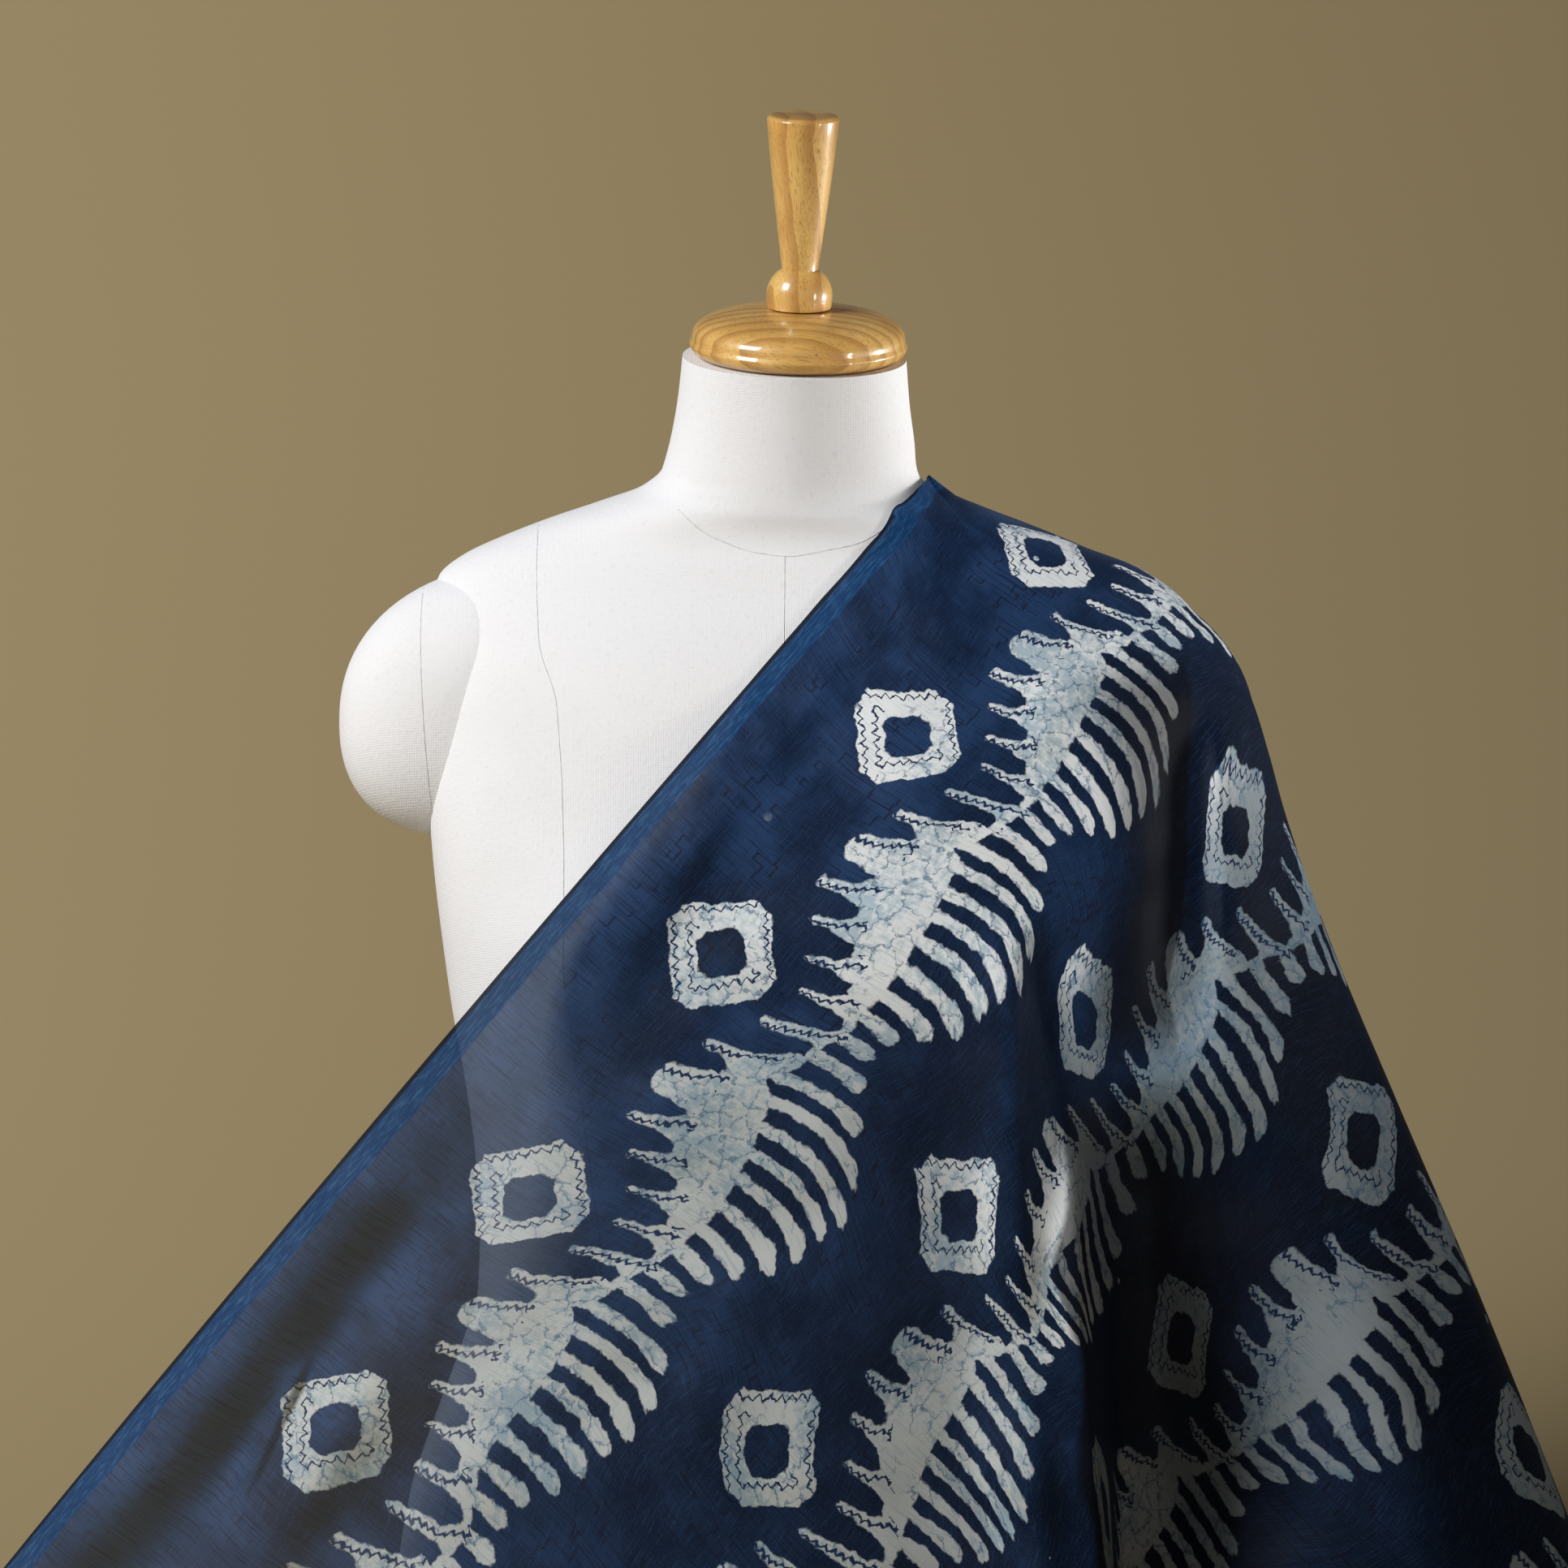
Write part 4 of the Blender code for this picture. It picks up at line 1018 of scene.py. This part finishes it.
def rounded(profile):
    """The profile with its corners eased over a short reach."""
    eased = [profile[0]]
    for before, here, after in zip(profile, profile[1:], profile[2:]):
        a, b, c = Vector(before), Vector(here), Vector(after)
        near = min(WOOD_EASE, (a - b).length * 0.4, (c - b).length * 0.4)
        start = b + (a - b).normalized() * near
        end = b + (c - b).normalized() * near
        for share in (0.0, 0.5, 1.0):
            eased.append(tuple(start.lerp(b, share).lerp(b.lerp(end, share), share)))
    return eased + [profile[-1]]


def cap_profile():
    """A flattened dome over a rounded rim that draws in under it."""
    brow = CAP_RADIUS - CAP_LIP * 0.2
    brow_height = CAP_RIM * 0.85
    rise = CAP_RIM + CAP_DOME - brow_height
    profile = []
    for angle in np.linspace(0, math.pi / 2, DOME_STEPS + 1):
        out, up = math.sin(angle), max(math.cos(angle), 0.0)
        profile.append((brow * out ** (2 / CAP_POWER), brow_height + rise * up ** (2 / CAP_POWER)))
    profile += [
        (CAP_RADIUS, CAP_RIM * 0.6),
        (CAP_RADIUS - CAP_LIP * 0.25, CAP_RIM * 0.25),
        (CAP_RADIUS - CAP_LIP, 0.0),
        (0.0, 0.0),
    ]
    return rounded(profile)


def finial_profile():
    """A handle that widens upwards, on a ball with a short skirt."""
    top = BALL_HEIGHT + HANDLE_LENGTH
    profile = [(0.0, top), (HANDLE_TOP - HANDLE_LIP, top), (HANDLE_TOP, top - HANDLE_LIP)]
    for k in range(1, HANDLE_STEPS + 1):
        share = k / HANDLE_STEPS
        radius = HANDLE_TOP + (HANDLE_FOOT - HANDLE_TOP) * share ** HANDLE_TAPER
        profile.append((radius, top - HANDLE_LIP - (HANDLE_LENGTH - HANDLE_LIP) * share))
    start = math.asin((HANDLE_FOOT + BALL_STEP) / BALL_RADIUS)
    rise = (BALL_HEIGHT - BALL_STEP / 2 - BALL_SKIRT) / math.cos(start)
    for angle in np.linspace(start, math.pi / 2, BALL_STEPS + 1):
        profile.append((BALL_RADIUS * math.sin(angle), BALL_SKIRT + rise * math.cos(angle)))
    profile += [(BALL_RADIUS * BALL_WAIST, 0.0), (0.0, 0.0)]
    return rounded(profile)


def build_wood():
    top = dict(zip(FORM_COLUMNS, FORM_ROWS[-1]))
    seat = (
        Matrix.Rotation(TURN, 4, "Z")
        @ Matrix.Translation((top["x"] + CAP_SHIFT, top["y"], top["z"]))
        @ Matrix.Rotation(math.radians(top["roll"]), 4, "Y")
        @ Matrix.Rotation(math.radians(top["pitch"]), 4, "X")
    )
    cap_wood, handle_wood = [wood_material(name, *grain) for name, grain in WOODS.items()]
    cap = turned("wood_cap", cap_profile(), cap_wood, seat @ Matrix.Translation((0, 0, GAP)))
    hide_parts("neck_cap")
    crown = GAP + CAP_RIM + CAP_DOME + GAP
    finial = turned("wood_finial", finial_profile(), handle_wood, seat @ Matrix.Translation((0, 0, crown)))
    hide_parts("finial")


# ---------------------------------------------------------------- the drape
def selvedge_x(z):
    fall = APEX[2] - z
    return APEX[0] - SELVEDGE_RUN * fall + SELVEDGE_BEND * fall ** 2


def back_edge_x(z):
    return APEX[0] - BACK_RUN * (APEX[2] - z)


def fold_depth(x, z):
    """How far the folds that the solid has too stand out here."""
    total = 0.0 * x
    for row in FOLDS.values():
        f = dict(zip(FOLD_COLUMNS, row))
        down = (f["z_top"] - z) / f["z_top"]
        grown = smooth_step(down)
        off = x - (f["x_top"] + (f["x_foot"] - f["x_top"]) * down)
        steep = f["steep"] * (2 - grown)
        rising = f["crest"] * np.exp(-((off / f["left"]) ** 2))
        falling = f["crest"] - (f["crest"] + f["valley"]) * smooth_step(off / steep)
        rest = -f["valley"] * np.exp(-(((off - steep) / f["right"]) ** 2))
        total = total + grown * np.where(off < 0, rising, np.where(off < steep, falling, rest))
    return total


def crease_height(x, z):
    """How far the finer folds stand out here."""
    total = 0.0 * x
    for row in CREASES.values():
        f = dict(zip(CREASE_COLUMNS, row))
        run_x, run_z = f["x_foot"] - f["x_top"], f["z_foot"] - f["z_top"]
        length = math.hypot(run_x, run_z)
        down = ((x - f["x_top"]) * run_x + (z - f["z_top"]) * run_z) / length ** 2
        off = ((z - f["z_top"]) * run_x - (x - f["x_top"]) * run_z) / length
        reach = np.where(off < 0, f["left"], f["right"])
        fade = smooth_step(down / CREASE_FADE)
        if f["z_foot"] > 0:
            fade = fade * smooth_step((1 - down) / CREASE_FADE)
        total = total + f["height"] * fade * np.exp(-((off / reach) ** 2))
    return total


def ripple(x, z):
    """How far the soft ripples stand out here. Each is a wave that wavers across its own way."""
    total = 0.0 * x
    for k, (length, angle, height) in enumerate(RIPPLES):
        a = math.radians(angle)
        turn = 2 * math.pi / length
        bend = 1.3 * np.sin(turn * 0.37 * (x * math.sin(a) - z * math.cos(a)) + 1.9 * k)
        total = total + height * np.sin(turn * (x * math.cos(a) + z * math.sin(a)) + bend + 2.4 * k)
    return total


def selvedge_wave(x, z):
    share = (x - selvedge_x(z)) / SELVEDGE_WAVE_REACH
    grown = smooth_step((SELVEDGE_WAVE_TOP - z) / (SELVEDGE_WAVE_TOP - SELVEDGE_WAVE_FULL))
    fade = grown * (1 - smooth_step(share))
    return SELVEDGE_WAVE_DEEP * fade * np.sin(2 * math.pi * SELVEDGE_WAVES * share)


def front_points(share, z):
    d = Sections(DRAPE_COLUMNS, DRAPE_ROWS).at(z)
    left = selvedge_x(z)
    wide = d["side_x"] - left
    x = left + wide * share
    rise = np.clip(share / d["front_share"], 0, 1)
    turn = np.clip((share - d["front_share"]) / (1 - d["front_share"]), 0, 1)
    curve = (1 - turn ** FRONT_POWER) ** (1 / FRONT_POWER)
    y = np.where(
        share < d["front_share"],
        d["left_y"] + (d["front_y"] - d["left_y"]) * np.sin(rise * math.pi / 2),
        d["side_y"] + (d["front_y"] - d["side_y"]) * curve,
    )
    soften = (1 - share ** FOLD_END) * smooth_step(wide / FOLD_ROOM)
    y = y - (fold_depth(x, z) + selvedge_wave(x, z) + crease_height(x, z) + ripple(x, z)) * soften
    return np.stack([x, y, z + 0 * x], axis=-1)


def back_points(share, z):
    d = Sections(DRAPE_COLUMNS, DRAPE_ROWS).at(z)
    edge = back_edge_x(z)
    corner_x = edge + BACK_SHARE * (d["side_x"] - edge)
    angle = np.clip(share / CORNER_SHARE, 0, 1) * math.pi / 2
    along = np.clip((share - CORNER_SHARE) / (1 - CORNER_SHARE), 0, 1)
    turning = share < CORNER_SHARE
    cos = np.clip(np.cos(angle), 0, 1)
    x = np.where(turning, corner_x + (d["side_x"] - corner_x) * cos ** (2 / BACK_POWER),
                 corner_x + (edge - corner_x) * along)
    y = np.where(turning, d["side_y"] + (d["back_y"] - d["side_y"]) * np.sin(angle) ** (2 / BACK_POWER),
                 d["back_y"] - BACK_EDGE_IN * along ** 2)
    grown = smooth_step((BACK_WAVE_TOP - z) / BACK_WAVE_TOP) * np.sin(math.pi * np.minimum(share, 0.5))
    wave = BACK_WAVE_DEEP * grown * np.sin(2 * math.pi * BACK_WAVES * share)
    return np.stack([x, y + wave, z + 0 * x], axis=-1)


def drape_points():
    """The sheet as rows of points from the shoulder to the hem, from selvedge to selvedge."""
    z = spans(FINE_ROWS)[:, None]
    shares = np.linspace(0, EVEN_SHARE, FRONT_FINE)
    left_over = 1 - np.linspace(0, 1, CORNER_FINE + 1)[1:]
    shares = np.append(shares, 1 - (1 - EVEN_SHARE) * left_over ** 2)[None, :]
    back = (np.arange(1, CORNER_FINE + BACK_FINE + 1) / (CORNER_FINE + BACK_FINE))[None, :]
    sheet = np.concatenate([front_points(shares, z), back_points(back, z)], axis=1)
    hem = sheet[-1:].copy()
    hem[..., 2] = 0.0
    steps = (np.arange(1, TOP_FINE) / TOP_FINE)[:, None, None]
    fan = np.array(APEX) + (sheet[:1] - np.array(APEX)) * steps
    return np.concatenate([fan, sheet, hem], axis=0)


def laid_on_form(points, surface):
    """The points, moved off the form where they are too near to it, and how far each moved."""
    room = CLOTH_CLEAR + CLOTH_THICK / 2
    flat = points.reshape(-1, 3).copy()
    moved = np.zeros(len(flat))
    for k, p in enumerate(flat):
        p = Vector(p)
        near, normal, _, gap = surface.find_nearest(p, LOOK_NEAR)
        if near is None:
            continue
        inside = (p - near).dot(normal) < 0
        if not inside and gap >= room:
            continue
        way = near - p if inside else p - near
        way = way.normalized() if way.length > 1e-6 else normal
        flat[k] = near + way * room
        moved[k] = (Vector(flat[k]) - p).length
    return flat.reshape(points.shape), moved.reshape(points.shape[:2])


def around(grid):
    """The sum of each inner point's four neighbours."""
    return grid[:-2, 1:-1] + grid[2:, 1:-1] + grid[1:-1, :-2] + grid[1:-1, 2:]


def eased(points, weight):
    """The points, each drawn towards the middle of its neighbours by its weight."""
    middle = points.copy()
    middle[1:-1, 1:-1] = 0.25 * around(points)
    return points + (middle - points) * weight[..., None]


def spread(values, rounds):
    for _ in range(rounds):
        wider = values.copy()
        wider[1:-1, 1:-1] = 0.2 * (values[1:-1, 1:-1] + around(values))
        values = wider
    return values


def flat_places(points):
    """Where each point of the sheet lies in the flat cloth: across and down, before it is turned."""
    rows, columns = points.shape[:2]
    edge = np.linalg.norm(np.diff(points[:, 0], axis=0), axis=-1)
    run = np.append(np.linalg.norm(points[0, 0] - np.array(APEX)), edge).cumsum()
    steps = np.linalg.norm(np.diff(points, axis=1), axis=-1).cumsum(axis=1)
    across = np.concatenate([np.zeros((rows, 1)), steps], axis=1) - GRAIN_COS * run[:, None]
    fall = np.linalg.norm(np.diff(points, axis=0), axis=-1)
    aside = np.diff(across, axis=0)
    drop = np.sqrt(np.maximum(fall ** 2 - aside ** 2, (LEAST_DROP * fall) ** 2))
    first = np.linalg.norm(points[0] - np.array(APEX), axis=-1)
    first = np.sqrt(np.maximum(first ** 2 - across[0] ** 2, (LEAST_DROP * first) ** 2))
    return across, first[None, :] + np.concatenate([np.zeros((1, columns)), drop.cumsum(axis=0)], axis=0)


def print_place(kind, k):
    """Where a square, a finger's end or a hook's tip lies in its own repeat, in mm."""
    if kind == "finger":
        return FINGER_U[k], FINGER_END[k] - 1.0
    if kind == "hook":
        return HOOK_U[k] + (HOOK_TIP[k] - HOOK_UPRIGHT) * HOOK_LEAN, HOOK_TIP[k] + 1.0
    if kind == "corner":
        u, v = ((0, -1), (1, 0), (0, 1), (-1, 0))[k]
        return u * CORNER, SQUARE_V + v * CORNER
    return 0.0, SQUARE_V


def seen_place(x, z, surface):
    """The place on a surface that shows at x and z of the upright plane y = 0, from the camera's place."""
    eye = Vector(CAMERA_PLACE)
    return surface.ray_cast(eye, (Vector((x, 0.0, z)) - eye).normalized())[0]


def plate(first, second):
    """The pull of each place in second on each place in first: a thin plate's bending."""
    gap = ((first[:, None] - second[None, :]) ** 2).sum(axis=-1)
    return 0.5 * gap * np.log(gap + 1e-12)


def corrected(points, across, down):
    """The flat places, bent smoothly so that the marks of the print show where they should."""
    flat = points.reshape(-1, 3)
    surface = BVHTree.FromPolygons(flat.tolist(), grid_faces(*points.shape[:2]))
    here, want = [], []
    for (column, row), kinds in MARKS.items():
        for kind, marks in kinds.items():
            for k, (x, z) in marks.items():
                spot = np.array(seen_place(x / 1000, z / 1000, surface))
                near = np.argmin(((flat - spot) ** 2).sum(axis=1))
                u, v = print_place(kind, k)
                u = (u + column * REPEAT + FIRST_SQUARE) / 1000
                v = (v + row * ROW_PITCH) / 1000
                a, b = across.flat[near], down.flat[near]
                here.append((a, b))
                want.append((GRAIN_COS * u + GRAIN_SIN * v - a, -GRAIN_SIN * u + GRAIN_COS * v - b))
    for length in SELVEDGE_HOLDS:
        here.append((-GRAIN_COS * length, GRAIN_SIN * length))
        want.append((0.0, 0.0))
    here, want = np.array(here), np.array(want)
    count = len(here)
    level = np.column_stack([np.ones(count), here])
    system = np.zeros((count + 3, count + 3))
    system[:count, :count] = plate(here, here) + PLATE_EASE * np.eye(count)
    system[:count, count:], system[count:, :count] = level, level.T
    weights = np.linalg.solve(system, np.vstack([want, np.zeros((3, 2))]))
    farthest = here[:, 0].max()
    spot = np.column_stack([np.minimum(across.ravel(), farthest + PLATE_PAST), down.ravel()])
    shift = plate(spot, here) @ weights[:count]
    shift = shift + np.column_stack([np.ones(len(spot)), spot]) @ weights[count:]
    away = smooth_step((across.ravel() - farthest) / PLATE_FADE)[:, None]
    shift = (shift * (1 - away)).reshape(*across.shape, 2)
    return across + shift[..., 0], down + shift[..., 1]


def build_cloth(material, form):
    points = drape_points()
    for _ in range(LAY_ROUNDS):
        points, moved = laid_on_form(points, form)
        weight = np.clip(spread(moved, SPREAD_ROUNDS) / EASE_FROM, 0, EASE_MOST)
        for _ in range(EASE_ROUNDS):
            points = eased(points, weight)
    points, _ = laid_on_form(points, form)

    across, down = corrected(points, *flat_places(points))
    u = GRAIN_COS * across - GRAIN_SIN * down - FIRST_SQUARE / 1000
    v = GRAIN_SIN * across + GRAIN_COS * down

    rows, columns = points.shape[:2]
    faces = grid_faces(rows, columns)
    faces += [[rows * columns, k + 1, k] for k in range(columns - 1)]
    mesh = new_mesh("chanderi_drape", np.vstack([points.reshape(-1, 3), [APEX]]), faces, material)
    cloth = new_piece("chanderi_drape", mesh)
    places = np.append(np.stack([u, v], axis=-1).reshape(-1, 2), [[-FIRST_SQUARE / 1000, 0.0]], axis=0)
    corners = np.zeros(len(mesh.loops), int)
    mesh.loops.foreach_get("vertex_index", corners)
    mesh.uv_layers.new(name="cloth").data.foreach_set("uv", places[corners].ravel())
    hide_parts("chanderi_cloth")
    return cloth


# ---------------------------------------------------------------- the stage
def stage_sheet(name, rows, paper):
    """A sheet of the stage's paper: rows of depth, height and half width."""
    points = [(x, y, z) for y, z, wide in rows for x in (-wide, wide)]
    faces = [(2 * k, 2 * k + 1, 2 * k + 3, 2 * k + 2) for k in range(len(rows) - 1)]
    sheet = new_object(name, new_mesh(name, points, faces, paper))


def build_stage():
    """A wide floor, and a narrower paper that sweeps up behind into a plain backdrop."""
    paper = stage_material()
    stage_sheet("stage_floor", [(y, FLOOR_Z, FLOOR_WIDE) for y in (-FLOOR_WIDE, FLOOR_WIDE)], paper)
    rows = [(y, PAPER_Z, BACKDROP_WIDE) for y in np.linspace(BACKDROP_FOOT, SWEEP_START, 8)]
    for angle in np.linspace(0, math.pi / 2, SWEEP_STEPS + 1)[1:]:
        y = SWEEP_START + SWEEP_RADIUS * math.sin(angle)
        rows.append((y, SWEEP_RADIUS * (1 - math.cos(angle)) + PAPER_Z, BACKDROP_WIDE))
    rows.append((SWEEP_START + SWEEP_RADIUS, BACKDROP_TALL, BACKDROP_WIDE))
    stage_sheet("stage_sweep", rows, paper)


def area_light(name, place_at, aim, size, power, spread_angle, colour):
    lamp = bpy.data.lights.new(name, "AREA")
    lamp.shape = "RECTANGLE"
    lamp.size, lamp.size_y = size
    lamp.energy = power
    lamp.spread = math.radians(spread_angle)
    lamp.color = colour
    holder = new_object(name, lamp)
    holder.location = place_at
    holder.rotation_euler = (Vector(aim) - Vector(place_at)).to_track_quat("-Z", "Y").to_euler()


def build_lights():
    for name, row in LIGHTS.items():
        area_light(name, *row)
    world = bpy.data.worlds.new("studio")
    world.use_nodes = True
    background = world.node_tree.nodes["Background"]
    feed(world.node_tree, background, {"Color": WORLD_COLOUR, "Strength": WORLD_STRENGTH})
    bpy.context.scene.world = world


def build_camera():
    data = bpy.data.cameras.new("camera")
    data.lens = CAMERA_LENS
    data.sensor_width = CAMERA_SENSOR
    data.clip_end = CAMERA_FAR
    camera = new_object("camera", data)
    camera.location = CAMERA_PLACE
    camera.rotation_euler = (math.radians(90.0 - CAMERA_DOWN), 0.0, 0.0)
    bpy.context.scene.camera = camera
    bpy.context.scene.view_settings.view_transform = "Standard"


# ---------------------------------------------------------------- building
def main():
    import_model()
    build_camera()
    build_lights()
    build_stage()
    canvas = canvas_material()
    form = [build_body(canvas)] + [build_stub(node, sizes, canvas) for node, sizes in STUBS.items()]
    thread = thread_material()
    surfaces = [tree_of(piece) for piece in form]
    for name, (side, points) in SEAMS.items():
        seam_line("seam_" + name, points, side, surfaces, thread)
    build_wood()
    cloth = build_cloth(chanderi_material(), tree_of(*form))


main()
